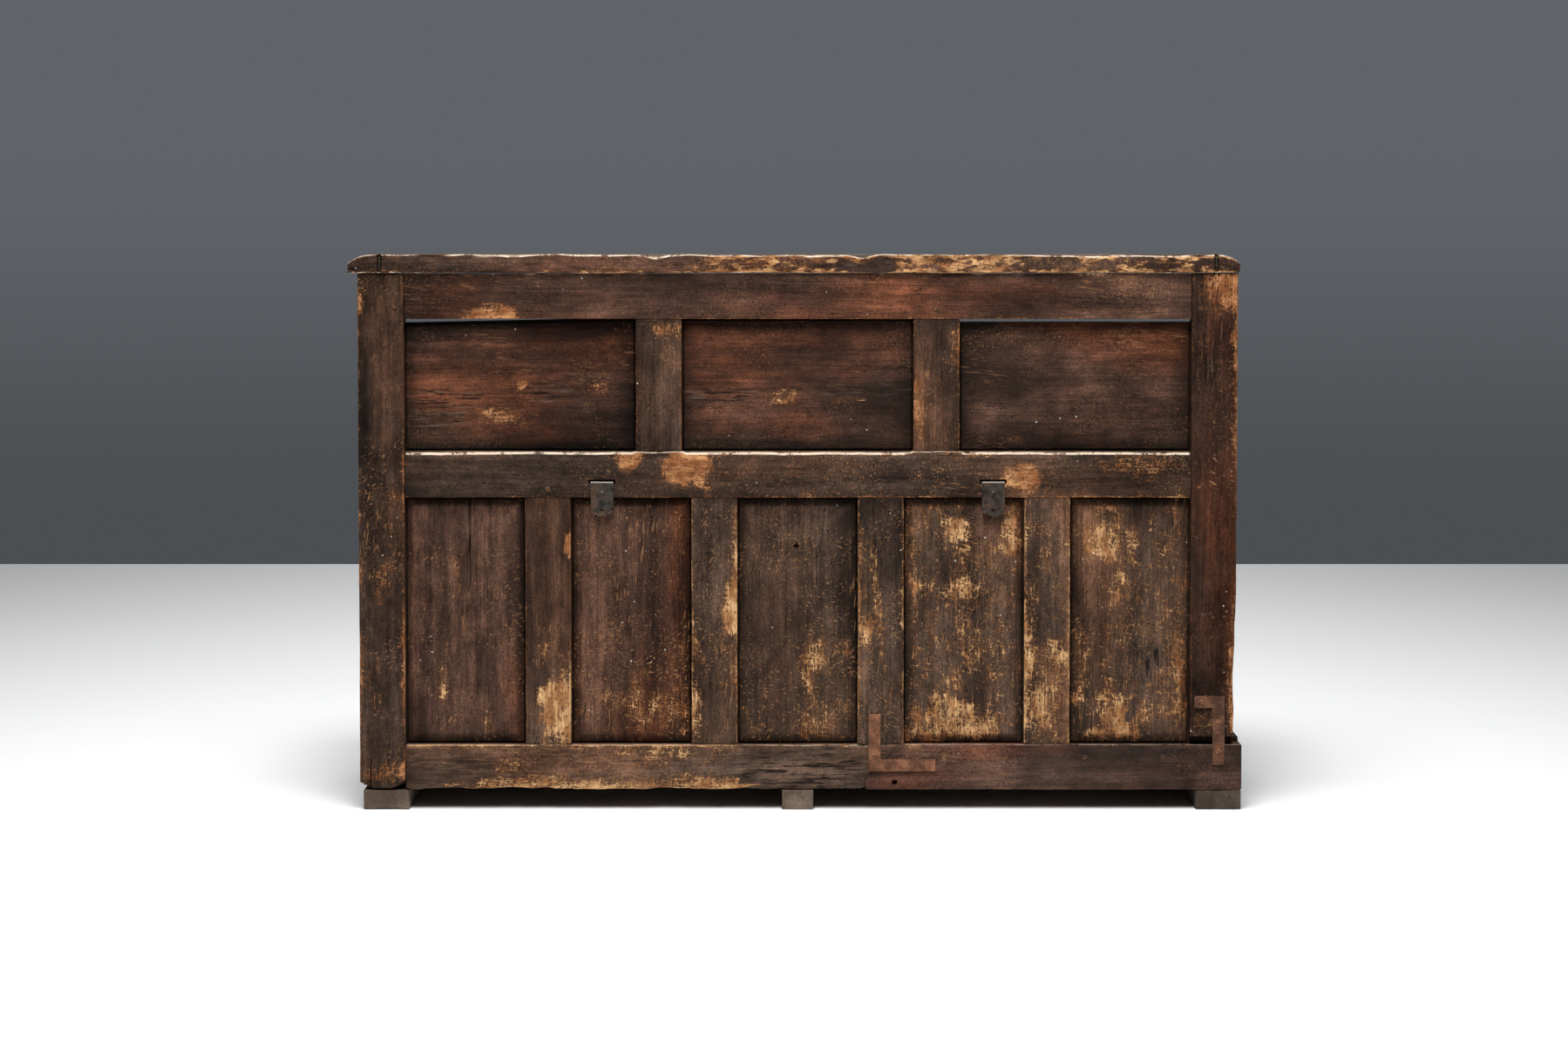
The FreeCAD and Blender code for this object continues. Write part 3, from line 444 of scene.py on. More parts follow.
def dark_wood(slot, name, deep, brown, red, amount, shine, coarse=0.0):
    """Oak under old wax: deep, brown and red are its own colours, amount says how much of it has worn off, and coarse
    whether in fine scratches or in flakes."""
    w = new_finish(name)
    marks = wood_marks(w)
    grain, streak = marks.grain, marks.streak
    worn = w.place(worn_patches, Grain=grain, Wear=marks.wear, Edge=marks.edge, Amount=amount, Coarse=coarse)
    dust_and_highlight = w.place(dust_and_ledge_highlight, Grain=grain, Edge=marks.edge)
    colour = w.tint(w.fade(marks.band, 0.25, 0.75), deep, brown)
    flame = w.fade(w.cloud(grain, (2.2, 7, 7), 3, 0.5, 0.3), 0.46, 0.72)
    colour = w.tint(w.times(flame, 0.75), colour, red)
    colour = w.shade(colour, w.fade(w.cloud(grain, (3.2, 52, 52), 5, 0.6, 0.5), 0.33, 0.67, 0.64, 1.36))
    for stretch, detail, rough, vary in (((3, 6, 6), 5, 0.6, 0.6), ((11, 22, 22), 5, 0.65, 0.4),
                                         ((38, 60, 60), 6, 0.75, 0.4), ((300, 380, 380), 4, 0.65, 0.4)):
        colour = w.shade(colour, w.fade(w.cloud(grain, stretch, detail, rough), 0.27, 0.73, 1 - vary, 1 + vary))
    colour = by_tone_and_shade(w, w.shade(colour, w.fade(streak, 0.25, 0.75, 0.72, 1.28)), marks)
    colour = w.tint(w.times(dust_and_highlight["Film"], 0.14), colour, (0.11, 0.075, 0.052))
    fibre = w.times(marks.torn, w.fade(w.cloud(grain, (22, 240, 240), 4, 0.6), 0.5, 0.68))
    colour = w.tint(w.times(fibre, 0.6), colour, (0.13, 0.095, 0.065))
    colour = w.tint(w.times(worn["Scuff"], 0.55), colour, (0.15, 0.058, 0.021))
    colour = w.tint(w.times(worn["Scratch"], 0.62), colour, (0.3, 0.15, 0.066))
    pale = w.fade(w.cloud(grain, (30, 60, 60), 5, 0.65), 0.38, 0.66)
    pale = w.tint(pale, (0.31, 0.135, 0.05), (0.68, 0.41, 0.19))
    pale = w.shade(pale, w.fade(streak, 0.25, 0.75, 0.65, 1.25))
    # Pale wood is darkened where that tone, with its painted shade, is low.
    pale = w.shade(pale, w.tint(w.fade(marks.tone, 0.3, 0.66), (0.72, 0.56, 0.52), (1.0, 1.0, 1.02)))
    bare = w.times(worn["Bare"], w.fade(w.cloud(grain, (180, 330, 330), 3, 0.6), 0.36, 0.44))
    colour = w.tint(bare, colour, pale)
    raw = w.tint(w.fade(marks.band, 0.3, 0.7), (0.085, 0.05, 0.03), (0.165, 0.102, 0.062))
    raw = w.shade(raw, w.fade(streak, 0.25, 0.75, 0.7, 1.3))
    colour = w.tint(w.times(marks.inside, 0.85), colour, raw)
    # Painted highlight, partly dusty: the upward arrises on the back are laid over with pale cream.
    colour = w.tint(dust_and_highlight["Ledge"], colour, (0.66, 0.53, 0.4))
    colour = w.tint(dust_and_highlight["Speck"], colour, (0.6, 0.56, 0.5))
    spots = dark_spots(w, marks, 0.45)
    rough = w.plus(dust_and_highlight["Ledge"], 0.2, w.plus(bare, 0.2, w.plus(streak, 0.25, shine)))
    height = w.plus(spots, -0.9, w.plus(bare, -0.4, w.times(streak, 0.6)))
    w.out(Base_Color=w.tint(spots, colour, (0.006, 0.004, 0.003)), Roughness=rough, Normal=w.bump(0.7, 0.0013, height),
          Specular_IOR_Level=0.07)
    return slot, w.owner


old_wood = dark_wood("old_wood", "old waxed oak", deep=(0.022, 0.0135, 0.0098), brown=(0.071, 0.044, 0.0305),
                     red=(0.112, 0.051, 0.028), amount=0.0, shine=0.48)
red_wood = dark_wood("old_wood", "reddish waxed oak", deep=(0.025, 0.0128, 0.0086), brown=(0.078, 0.0385, 0.025),
                     red=(0.172, 0.054, 0.024), amount=0.0, shine=0.46)


def smooth(value):
    """A soft step from 0 to 1."""
    value = np.clip(value, 0, 1)
    return value * value * (3 - 2 * value)


def near(x, place, width):
    """How near a place is, from 1 down to 0."""
    return np.exp(-(((x - place) / width) ** 2))


rot_top, rot_depth = 0.109, 0.0145
post_x, split_x, split_top, split_depth = 0.6195, 0.637, 0.07, 0.006


def rotten_foot(points, start, normal):
    """The cut-off foot: rot has eaten its rear lower edge, and weather its outer arris."""
    x, _, z = start.T
    bitten = (normal[:, 1] > 0.2) & (z < rot_top + 0.003 * wander(start, 0.012, 3))
    points[bitten, 1] -= rot_depth + 0.002 * wander(start[bitten], 0.008, 4)
    outer = smooth((x + 0.625) / -0.025) * smooth((0.34 - z) / 0.16)
    points[:, 0] += outer * (0.0045 + 0.0022 * wander(start, (0.02, 0.02, 0.025), 5))


def worn_foot(points, start, normal):
    """The whole foot: its lower end is worn round, and split up from below."""
    x, _, z = start.T
    lift = 0.009 * smooth((np.abs(x - post_x) - 0.012) / 0.024) + 0.002
    points[:, 2] += lift * smooth((0.05 - z) / 0.02)
    split = (np.abs(x - split_x) < 0.0007) & (z < split_top) & (normal[:, 1] > 0.5)
    points[split, 1] -= split_depth
    points[:, 0] += near(x, split_x, 0.003) * (z < 0.09) * 0.002 * wander(start, (1, 1, 0.014), 6)


plank("rear_post_left", "back_post_left", red_wood, "z", "xy", 0.0026, 0.008, 0.0009, shape=rotten_foot,
      cuts={"z": [0.1125, 0.1105, 0.108]}, tone=(0.18, 0.13, 0.13, 0.19),
      bare=[(-0.63, 0.772, 0.025, 0.033, 0.55), (-0.649, 0.61, 0.007, 0.129, 0.28), (-0.647, 0.272, 0.008, 0.156, 0.26),
            (-0.618, 0.448, 0.006, 0.149, 0.12), (-0.601, 0.141, 0.011, 0.027, 0.35), (-0.611, 0.649, 0.01, 0.013, 0.3),
            (-0.613, 0.655, 0.016, 0.03, -0.5)])
plank("rear_post_right", "back_post_right", old_wood, "z", "xy", 0.0024, 0.006, 0.0009, shape=worn_foot,
      cuts={"x": [split_x + d for d in (-0.001, -0.0004, 0, 0.0004, 0.001)], "z": [0.034, 0.04, 0.046]},
      tone=(0.33, 0.3, 0.26, 0.22),
      bare=[(0.614, 0.054, 0.033, 0.016, 0.4), (0.617, 0.337, 0.013, 0.026, 0.33), (0.65, 0.76, 0.007, 0.019, 0.4),
            (0.62, 0.168, 0.029, 0.078, 0.2), (0.589, 0.207, 0.008, 0.091, 0.3), (0.62, 0.42, 0.03, 0.1, 0.17)])
for side, tone in (("left", 0.5), ("right", 0.45)):
    node = "front_stile_" + side
    middle = sum(corners(node))[0] / 2
    plank("front_upright_" + side, node, old_wood, "z", "xy", 0.003, 0.004, 0.0008, face="-y", inside="+y", tone=tone,
          bare=[(middle, 0.06, 0.03, 0.02, 0.5), (middle, 0.33, 0.012, 0.05, 0.25)])


# Bottom rails: the lowest rails of the frame, tenoned into the posts and stiles. The rear one is part old and ragged,
# part a newer, smoother piece scarfed on, which also carries the rotten post, and the left end has a new sill.
repair_wood = dark_wood("repair_wood", "newer stained wood", deep=(0.018, 0.011, 0.0085), brown=(0.074, 0.04, 0.028),
                        red=(0.185, 0.053, 0.028), amount=-0.05, shine=0.45)
post_inner = corners("back_post_right")[0][0]
rail_ends = {"x": (-post_inner, post_inner)}
side_front, side_back = corners("front_stile_right")[1][1], corners("back_post_right")[0][1]
side_ends = {"y": (side_front, side_back)}
nib_x, nib_top = corners("back_bottom_rail_repair")[1][0], 0.047
peg_hole_x, peg_hole_z, peg_hole_r, peg_hole_depth = -0.1449, 0.041, 0.0042, 0.012


def scarf(z):
    """Where the old rail ends and the repair begins, at a height."""
    return nib_x - np.clip(z - nib_top, 0, 1)


def old_rail_end(points, start, normal):
    """The slanting scarf end, and a lower edge that is broken and rubbed away."""
    x, _, z = start.T
    sound_from = -0.02
    share = np.clip((sound_from - x) / (sound_from - x.min()), 0, 1)
    points[:, 0] += share * (scarf(z) - x.min())
    ragged = np.clip(0.4 + wander(start, (0.03, 0.5, 0.5), 7) + 0.5 * wander(start, (0.009, 0.5, 0.5), 8), 0, 2)
    points[:, 2] += 0.0028 * ragged * smooth((0.048 - z) / 0.018)


def repair_end(points, start, normal):
    """The slanting scarf end, and a round hole left by a lost peg."""
    x, _, z = start.T
    square_to = 0.23
    share = np.clip((x + square_to) / (x.max() + square_to), 0, 1)
    points[:, 0] += share * (scarf(z) - x.max())
    away = np.hypot(points[:, 0] - peg_hole_x, points[:, 2] - peg_hole_z)
    points[(away < peg_hole_r) & (normal[:, 1] > 0.5), 1] -= peg_hole_depth


plank("rear_bottom_rail_old", "back_bottom_rail_old", old_wood, "x", "yz", 0.0022, 0.007, 0.001, 0.0075,
      ends={"x": (corners("back_bottom_rail_old")[0][0], post_inner)}, cuts={"z": [nib_top]}, shape=old_rail_end,
      bare=[(0.22, 0.064, 0.5, 0.06, 0.2), (0.236, 0.042, 0.328, 0.011, 0.42), (0.175, 0.079, 0.104, 0.014, 0.38),
            (0.435, 0.066, 0.026, 0.014, 0.36), (-0.02, 0.06, 0.11, 0.03, -0.6), (0.5, 0.06, 0.09, 0.03, -0.35)],
      inside="-y", tone=(0.72, 0.66, 0.64))
fine_cuts = list(np.arange(-0.0054, 0.0055, 0.0012))
plank("rear_bottom_rail_repair", "back_bottom_rail_repair", repair_wood, "x", "yz", 0.0012, 0.0015, 0.0005, 0.012,
      cuts={"z": [nib_top] + [peg_hole_z + c for c in fine_cuts],
            "x": [peg_hole_x + c for c in fine_cuts] + [-0.134, -0.128]}, shape=repair_end,
      bare=[(-0.141, 0.087, 0.016, 0.01, 0.4), (-0.267, 0.083, 0.052, 0.008, 0.15), (-0.449, 0.048, 0.013, 0.01, 0.2)],
      inside="-y", tone=(0.5, 0.5, 0.36, 0.34, 0.62, 0.66, 0.46, 0.7, 0.42, 0.7, 0.62, 0.42, 0.5, 0.52, 0.48))
plank("front_rail_bottom", "front_bottom_rail", old_wood, "x", "yz", 0.0028, 0.006, 0.001, ends=rail_ends, face="-y",
      inside="+y", bare=[(0.1, 0.04, 0.4, 0.012, 0.45), (-0.35, 0.05, 0.1, 0.02, 0.4)])
plank("side_rail_bottom_right", "side_bottom_rail_right", old_wood, "y", "xz", 0.0025, 0.005, 0.0009, ends=side_ends,
      face="+x", inside="-x", bare=[(0.02, 0.045, 0.12, 0.015, 0.4)])
plank("new_sill_left", "side_sill_left", repair_wood, "y", "xyz", 0.0014, 0.002, 0.0006, inside="+x")


# Middle and top rails: the seat-height rails that tie the posts, and the top rail under the cap.
# The back's middle rail has a worn chamfer along its upper arris, and is pierced by the two hinge straps.
strap_places = [sum(corners("hinge_rear_strap_" + side))[0] / 2 for side in ("left", "right")]
slot_half, slot_low, slot_high, slot_depth = 0.0197, 0.4882, 0.4944, 0.014
muntin_x, under_muntin = 0.2065, 0.04


def chamfer_and_slots(points, start, normal):
    """A rubbed chamfer along the rear upper arris, shallow under the muntins, and a slot round each strap."""
    x, y, z = start.T
    depth = 0.0075 + 0.0022 * wander(start, (0.05, 1, 1), 9) + 0.0016 * wander(start, (0.013, 1, 1), 10)
    depth -= 0.0055 * smooth((under_muntin - np.abs(np.abs(x) - muntin_x)) / 0.006)
    over = np.clip(points[:, 1] + points[:, 2] - (z.max() + y.max() - depth), 0, 1)
    points[:, 1:] -= over[:, None] / 2
    for place in strap_places:
        slot = (np.abs(x - place) < slot_half) & (z > slot_low) & (z < slot_high) & (np.abs(normal[:, 1]) > 0.5)
        points[slot, 1] -= np.sign(normal[slot, 1]) * slot_depth


plank("rear_middle_rail", "back_middle_rail", old_wood, "x", "yz", 0.0018, 0.004, 0.0009, 0.0075, rail_ends,
      cuts={"x": [x + d for x in strap_places for d in (-0.02, -0.0194, 0.0194, 0.02)],
            "z": [0.488, 0.4885, 0.494, 0.4945]}, shape=chamfer_and_slots,
      bare=[(0.252, 0.521, 0.019, 0.015, 0.62), (0.167, 0.507, 0.04, 0.022, 0.66), (-0.334, 0.5, 0.027, 0.018, 0.64),
            (-0.2, 0.5, 0.35, 0.05, 0.14), (-0.508, 0.516, 0.052, 0.016, 0.28), (0.305, 0.499, 0.026, 0.01, 0.24)],
      tone=(0.44, 0.42, 0.36, 0.29))
plank("rear_top_rail", "back_top_rail", red_wood, "x", "yz", 0.0014, 0.004, 0.0008, ends=rail_ends,
      bare=[(0.455, 0.744, 0.038, 0.01, 0.5), (-0.486, 0.781, 0.063, 0.014, 0.2), (-0.113, 0.783, 0.014, 0.012, 0.25)],
      tone=(0.76, 0.49, 0.34, 0.255))
plank("front_rail_top", "front_top_rail", old_wood, "x", "yz", 0.0025, 0.004, 0.0008, ends=rail_ends, face="-y",
      inside="+y", bare=[(-0.2, 0.45, 0.2, 0.012, 0.35), (0.3, 0.41, 0.08, 0.012, 0.35)], tone=0.52)
for side, face, inside in (("left", "-x", "+x"), ("right", "+x", "-x")):
    plank("side_rail_top_" + side, "side_top_rail_" + side, old_wood, "y", "xz", 0.0022, 0.004, 0.0008, ends=side_ends,
          face=face, inside=inside, bare=[(0.05, 0.42, 0.06, 0.01, 0.35)])


# Muntins: the short uprights between the panels, tenoned into the rails above and below.
# Hands, knees and boxes have rubbed their edges to pale wood, and worms have eaten some of their sapwood.
lower = corners("back_bottom_rail_old")[1][2], corners("back_middle_rail")[0][2]
upper = corners("back_middle_rail")[1][2], corners("back_top_rail")[0][2]
front = corners("front_bottom_rail")[1][2], corners("front_top_rail")[0][2]
for name, node, height, tone, face, inside, bare in (
    ("lower_upright_4", "lower_muntin_4", lower, (0.75, 0.64, 0.3, 0.27, 0.25), "+y", "-y",
     [(0.359, 0.15, 0.023, 0.059, 0.56), (0.342, 0.396, 0.005, 0.019, 0.5), (0.375, 0.235, 0.01, 0.018, 0.4)]),
    ("lower_upright_3", "lower_muntin_3", lower, 0.68, "+y", "-y",
     [(0.124, 0.25, 0.05, 0.2, 0.14), (0.099, 0.305, 0.01, 0.045, 0.58), (0.096, 0.345, 0.005, 0.1, 0.3),
      (0.15, 0.14, 0.006, 0.04, 0.4)]),
    ("lower_upright_2", "lower_muntin_2", lower, 0.62, "+y", "-y",
     [(-0.124, 0.28, 0.05, 0.2, 0.15), (-0.103, 0.262, 0.01, 0.018, 0.45), (-0.134, 0.168, 0.008, 0.039, 0.36),
      (-0.096, 0.402, 0.006, 0.026, 0.32)]
     + [(-0.11 - 0.0034 * k, 0.406 - 0.031 * k, 0.0045, 0.024, 0.42) for k in range(9)]),
    ("lower_upright_1", "lower_muntin_1", lower, 0.8, "+y", "-y",
     [(-0.371, 0.25, 0.05, 0.22, 0.26), (-0.371, 0.175, 0.035, 0.08, 0.46), (-0.347, 0.328, 0.011, 0.029, 0.33),
      (-0.375, 0.162, 0.016, 0.059, 0.45), (-0.373, 0.419, 0.027, 0.01, 0.25), (-0.372, 0.3, 0.03, 0.02, -0.2)]),
    ("upper_upright_right", "upper_muntin_right", upper, 0.42, "+y", "",
     [(0.201, 0.717, 0.028, 0.013, 0.38), (0.191, 0.675, 0.01, 0.026, 0.2)]),
    ("upper_upright_left", "upper_muntin_left", upper, 0.38, "+y", "",
     [(-0.182, 0.597, 0.007, 0.052, 0.35), (-0.232, 0.688, 0.01, 0.026, 0.25)]),
    ("front_divider_left", "front_muntin_left", front, 0.5, "-y", "+y", [(-0.206, 0.2, 0.02, 0.05, 0.4)]),
    ("front_divider_right", "front_muntin_right", front, 0.5, "-y", "+y", [(0.215, 0.3, 0.012, 0.05, 0.4)]),
):
    plank(name, node, old_wood, "z", "xy", 0.002, 0.006, 0.0009, 0.0065, {"z": height}, face=face, inside=inside,
          bare=bare, tone=tone)


# Panels: thin oak boards held loose in grooves, with a field raised by a bevel all round.
# They have shrunk, so one has dropped away from the top rail and another tilts and leaves a slit.
def panel(name, node, wood, face, grain, sight, bevel, rise, bare, tone, inside=True, lay=None, cuts={}, shoulder=0.0):
    """A raised panel. sight is the opening it fills, as low and high places on the face's two axes, and shoulder is the
    small step round the field, which only the front and the sides have."""
    low, high = corners(node)
    axis, sign, (u, v) = facing(face)
    seed = sum(name.encode()) % 89
    near_edge = (0.0012, 0.0028, bevel * 0.5, bevel - 0.001, bevel, bevel + 0.001, bevel + 0.004)
    sides = [None, None, None]
    for a, (first, last) in zip((u, v), sight):
        steps = list(lines(first, last, 0.0065, near_edge, cuts.get("xyz"[a], ())))
        sides[a] = np.unique(np.round([low[a], high[a]] + [s for s in steps if low[a] < s < high[a]], 6))
    sides[axis] = np.array([low[axis], high[axis]])
    start, faces = lattice(*sides)
    points = start.copy()
    front = start[:, axis] == (high[axis] if sign > 0 else low[axis])
    inset = np.minimum.reduce([start[:, u] - sight[0][0], sight[0][1] - start[:, u],
                               start[:, v] - sight[1][0], sight[1][1] - start[:, v]])
    fall = rise * np.clip(1 - inset / bevel, 0, 1) + 0.004 * np.clip(1.7 - inset / 0.0017, 0, 1)
    fall = fall + shoulder * (inset < bevel - 0.0005)
    swell = [0.16 if c == grain else 0.04 for c in "xyz"]
    fall += 0.0012 * (0.5 + 0.5 * wander(start, swell, seed)) * smooth(inset / bevel)
    fall += 0.0004 * (0.5 + 0.5 * wander(start, 0.02, seed + 1))
    points[:, axis] -= np.where(front, sign * fall, -sign * 0.0003 * (1 + wander(start, swell, seed + 2)))
    normal = np.zeros_like(points)
    normal[:, axis] = np.where(front, sign, -sign)
    if lay:
        lay(points, start, normal)
    points = np.clip(points, low, high)
    wear = np.zeros((len(points), 4))
    wear[:, 0] = patches(start, normal, face, bare)
    wear[:, 1] = np.exp(-np.abs(inset - bevel) / 0.005) * front * 0.2
    if inside:
        wear[:, 2] = np.where(front, 0, 1)
    # Painted shade and dirt: the front face is darkened towards the opening's edge where it runs into the groove, over
    # the whole bevel, and in the shoulder's step.
    painted_shade_and_grime = 0.9 * np.exp(-np.clip(inset, 0, 1) / 0.014)
    painted_shade_and_grime = painted_shade_and_grime + (0.35 if shoulder else 0) * np.exp(-np.abs(inset - bevel + 0.001) / 0.0015)
    painted_shade_and_grime += 0.22 * smooth((bevel - inset) / 0.004)
    wear[:, 3] = tone * np.where(front, 1 - np.clip(painted_shade_and_grime, 0, 0.85), 1)
    fit(mesh_piece(name, points, faces, along_grain(start, grain, seed), wear), "bench", wood, node)


shake_x, shake_foot, shake_depth = 0.489, 0.325, 0.005
bore_x, bore_z, bore_r, bore_depth = 0.0017, 0.3945, 0.0034, 0.009
tilt_from, tilt_drop, tilt_run = 0.68, 0.005, 0.24


def split_panel(points, start, normal):
    """A shake that runs down from the top of the panel and wanders with the grain."""
    x, _, z = start.T
    points[:, 0] += near(x, shake_x, 0.004) * 0.0025 * wander(start, (1, 1, 0.03), 11)
    split = (np.abs(x - shake_x) < 0.0007) & (z > shake_foot) & (normal[:, 1] > 0)
    points[split, 1] -= shake_depth


def nail_hole(points, start, normal):
    """A single hole bored through the panel long ago."""
    away = np.hypot(start[:, 0] - bore_x, start[:, 2] - bore_z)
    points[(away < bore_r) & (normal[:, 1] > 0), 1] -= bore_depth


def slipped_panel(points, start, normal):
    """The tilted panel: its upper edge falls away towards the post."""
    x, _, z = start.T
    line = upper[1] - tilt_drop * (1 - (post_inner - x) / tilt_run)
    points[:, 2] -= smooth((z - tilt_from) / (z.max() - tilt_from)) * np.clip(z.max() - line, 0, 1)


muntin_half = (corners("lower_muntin_1")[1][0] - corners("lower_muntin_1")[0][0]) / 2
centres = [float(corners(f"lower_muntin_{k}")[0][0] + muntin_half) for k in (1, 2, 3, 4)]
edges = [-post_inner] + [c + s * muntin_half for c in centres for s in (-1, 1)] + [post_inner]
bore_cuts = [c * 0.0016 for c in range(-3, 4)]
for k, wood, tone, lay, cuts, bare in (
    (1, old_wood, 0.74, None, {},
     [(-0.495, 0.27, 0.12, 0.25, 0.25), (-0.453, 0.402, 0.038, 0.036, 0.52), (-0.501, 0.389, 0.013, 0.039, 0.45),
      (-0.488, 0.334, 0.065, 0.036, 0.32), (-0.488, 0.146, 0.065, 0.036, 0.44), (-0.52, 0.191, 0.018, 0.036, 0.34),
      (-0.459, 0.24, 0.042, 0.059, 0.3)]
     + [(-0.501 - 0.0122 * n, 0.156 + 0.024 * n, 0.004, 0.013, -0.8) for n in range(4)]),
    (2, old_wood, 0.72, None, {},
     [(-0.248, 0.28, 0.12, 0.25, 0.26), (-0.238, 0.42, 0.026, 0.024, 0.5), (-0.313, 0.402, 0.012, 0.032, 0.46),
      (-0.238, 0.331, 0.055, 0.019, 0.4), (-0.248, 0.136, 0.071, 0.033, 0.46), (-0.284, 0.227, 0.042, 0.045, 0.34),
      (-0.274, 0.376, 0.052, 0.026, 0.34)]),
    (3, old_wood, 0.6, nail_hole, {"x": [bore_x + c for c in bore_cuts], "z": [bore_z + c for c in bore_cuts]},
     [(0.0, 0.2, 0.12, 0.22, 0.16), (-0.04, 0.232, 0.034, 0.03, 0.31), (-0.014, 0.22, 0.016, 0.055, 0.31),
      (-0.001, 0.136, 0.085, 0.033, 0.24), (-0.014, 0.126, 0.013, 0.016, 0.3)]),
    (4, red_wood, 0.58, None, {},
     [(0.25, 0.25, 0.12, 0.25, 0.15), (0.22, 0.149, 0.059, 0.045, 0.36), (0.285, 0.136, 0.033, 0.033, 0.28)]),
    (5, red_wood, 1.0, split_panel, {"x": [shake_x + d for d in (-0.002, -0.0005, 0, 0.0005, 0.002)]},
     [(0.5, 0.28, 0.12, 0.25, 0.1), (0.496, 0.344, 0.016, 0.033, 0.33), (0.531, 0.187, 0.01, 0.034, 0.42),
      (0.462, 0.136, 0.014, 0.033, 0.24), (0.489, 0.4, 0.008, 0.06, -0.5)]),
):
    panel(f"rear_lower_panel_{k}", f"lower_panel_{k}", wood, "+y", "z", (edges[2 * k - 2:2 * k], lower), 0.015, 0.005,
          bare, tone, lay=lay, cuts=cuts)

bay = corners("upper_muntin_right")
bays = {"right": (bay[1][0], post_inner), "middle": (-bay[0][0], bay[0][0]), "left": (-post_inner, -bay[1][0])}
for side, tone, lay, bare in (
    ("right", 0.4, slipped_panel,
     [(0.409, 0.634, 0.008, 0.007, 0.55), (0.444, 0.588, 0.026, 0.01, 0.43), (0.292, 0.633, 0.018, 0.008, 0.36),
      (0.53, 0.615, 0.05, 0.014, -0.7), (0.53, 0.588, 0.035, 0.014, -0.7), (0.37, 0.625, 0.04, 0.01, -0.5)]),
    ("middle", 0.52, None,
     [(0.02, 0.617, 0.024, 0.01, 0.43), (-0.082, 0.612, 0.029, 0.008, 0.36), (0.12, 0.618, 0.05, 0.011, -0.6),
      (-0.09, 0.625, 0.07, 0.008, -0.5)]),
    ("left", 0.56, None, [(-0.318, 0.557, 0.018, 0.008, 0.4), (-0.417, 0.7, 0.156, 0.01, 0.1)]),
):
    panel("rear_upper_panel_" + side, "upper_panel_" + side, red_wood, "+y", "x", (bays[side], upper), 0.034, 0.003,
          bare, tone, inside=False, lay=lay)
for side, bare in (
    ("left", [(-0.47, 0.15, 0.05, 0.025, 0.36), (-0.33, 0.31, 0.03, 0.03, 0.26), (-0.42, 0.25, 0.2, 0.15, 0.08)]),
    ("middle", [(0.06, 0.17, 0.08, 0.02, 0.34), (-0.1, 0.22, 0.02, 0.05, 0.26), (0.0, 0.25, 0.2, 0.15, 0.1)]),
    ("right", [(0.31, 0.14, 0.04, 0.02, 0.34), (0.48, 0.27, 0.04, 0.04, 0.3), (0.4, 0.37, 0.05, 0.012, -0.4)]),
):
    panel("chest_front_panel_" + side, "front_panel_" + side, old_wood, "-y", "x", (bays[side], front), 0.032, 0.007,
          bare, 0.56, shoulder=0.0015)
for side, face, foot, bare in (
    ("left", "-x", corners("side_sill_left")[1][2], [(0.06, 0.19, 0.05, 0.03, 0.36), (-0.09, 0.34, 0.03, 0.02, 0.26)]),
    ("right", "+x", front[0], [(-0.05, 0.16, 0.06, 0.02, 0.36), (0.08, 0.29, 0.02, 0.05, 0.26)]),
):
    panel("chest_side_panel_" + side, "side_panel_" + side, old_wood, face, "y", (side_ends["y"], (foot, front[1])),
          0.032, 0.007, bare, 0.56, shoulder=0.0015)


# Cap: a plank nailed flat on the posts and the top rail, overhanging a little all round.
# Long leaning has torn its rear edge, rounded its ends and bitten two notches out of its upper arris.
cap_low, cap_high = corners("back_cap")
cap_nails = (0.6205, -0.621)
bites = ((0.207, 0.012, 0.004), (-0.095, 0.014, 0.0065), (-0.35, 0.05, 0.0015))


def torn_cap(points, start, normal):
    """Rounded ends, an uneven top, two bites in the rear arris, and a slot worn open round each end nail."""
    x, y, z = start.T
    up = smooth((z - cap_low[2]) / (cap_high[2] - cap_low[2]))
    from_end = np.minimum(x - cap_low[0], cap_high[0] - x)
    points[:, 2] -= up * 0.014 * np.clip(1 - from_end / 0.03, 0, 1) ** 2
    at_rear = np.exp(-(cap_high[1] - y) / 0.02)
    uneven = 0.6 + wander(start, (0.06, 1, 1), 13) + 0.4 * wander(start, (0.018, 1, 1), 14)
    points[:, 2] -= up * at_rear * 0.0022 * uneven
    for place, width, depth in bites:
        points[:, 2] -= up * at_rear * depth * near(x, place, width)
    rear = normal[:, 1] > 0.2
    torn = np.clip(wander(start, (0.035, 1, 0.012), 15) + 0.5 * wander(start, (0.012, 1, 0.006), 16), 0, 1.5)
    points[:, 1] -= rear * 0.004 * torn
    for place in cap_nails:
        slot = (np.abs(x - place) < 0.0026) & (z > cap_low[2] + 0.002) & rear
        points[slot, 1] -= 0.008


flaked_wood = dark_wood("old_wood", "flaked cap oak", deep=(0.026, 0.015, 0.0105), brown=(0.088, 0.048, 0.032),
                        red=(0.12, 0.05, 0.03), amount=0.0, shine=0.55, coarse=0.8)
plank("cap_plank", "back_cap", flaked_wood, "x", "xyz", 0.0026, 0.006, 0.001, 0.007, shape=torn_cap,
      cuts={"x": [x + d for x in cap_nails for d in (-0.0034, -0.0024, 0.0024, 0.0034)],
            "z": [0.806, 0.811, 0.816, 0.821]}, tone=(0.54, 0.52, 0.46, 0.4),
      bare=[(0.035, 0.814, 0.16, 0.02, 0.34), (-0.235, 0.814, 0.111, 0.02, 0.34), (-0.488, 0.814, 0.143, 0.02, 0.38),
            (0.26, 0.814, 0.06, 0.02, 0.24), (-0.52, 0.812, 0.1, 0.008, 0.42), (0.071, 0.81, 0.052, 0.008, 0.42),
            (-0.2, 0.812, 0.06, 0.01, 0.4), (0.42, 0.815, 0.07, 0.02, 0.14), (-0.1, 0.812, 0.05, 0.01, -0.35)])


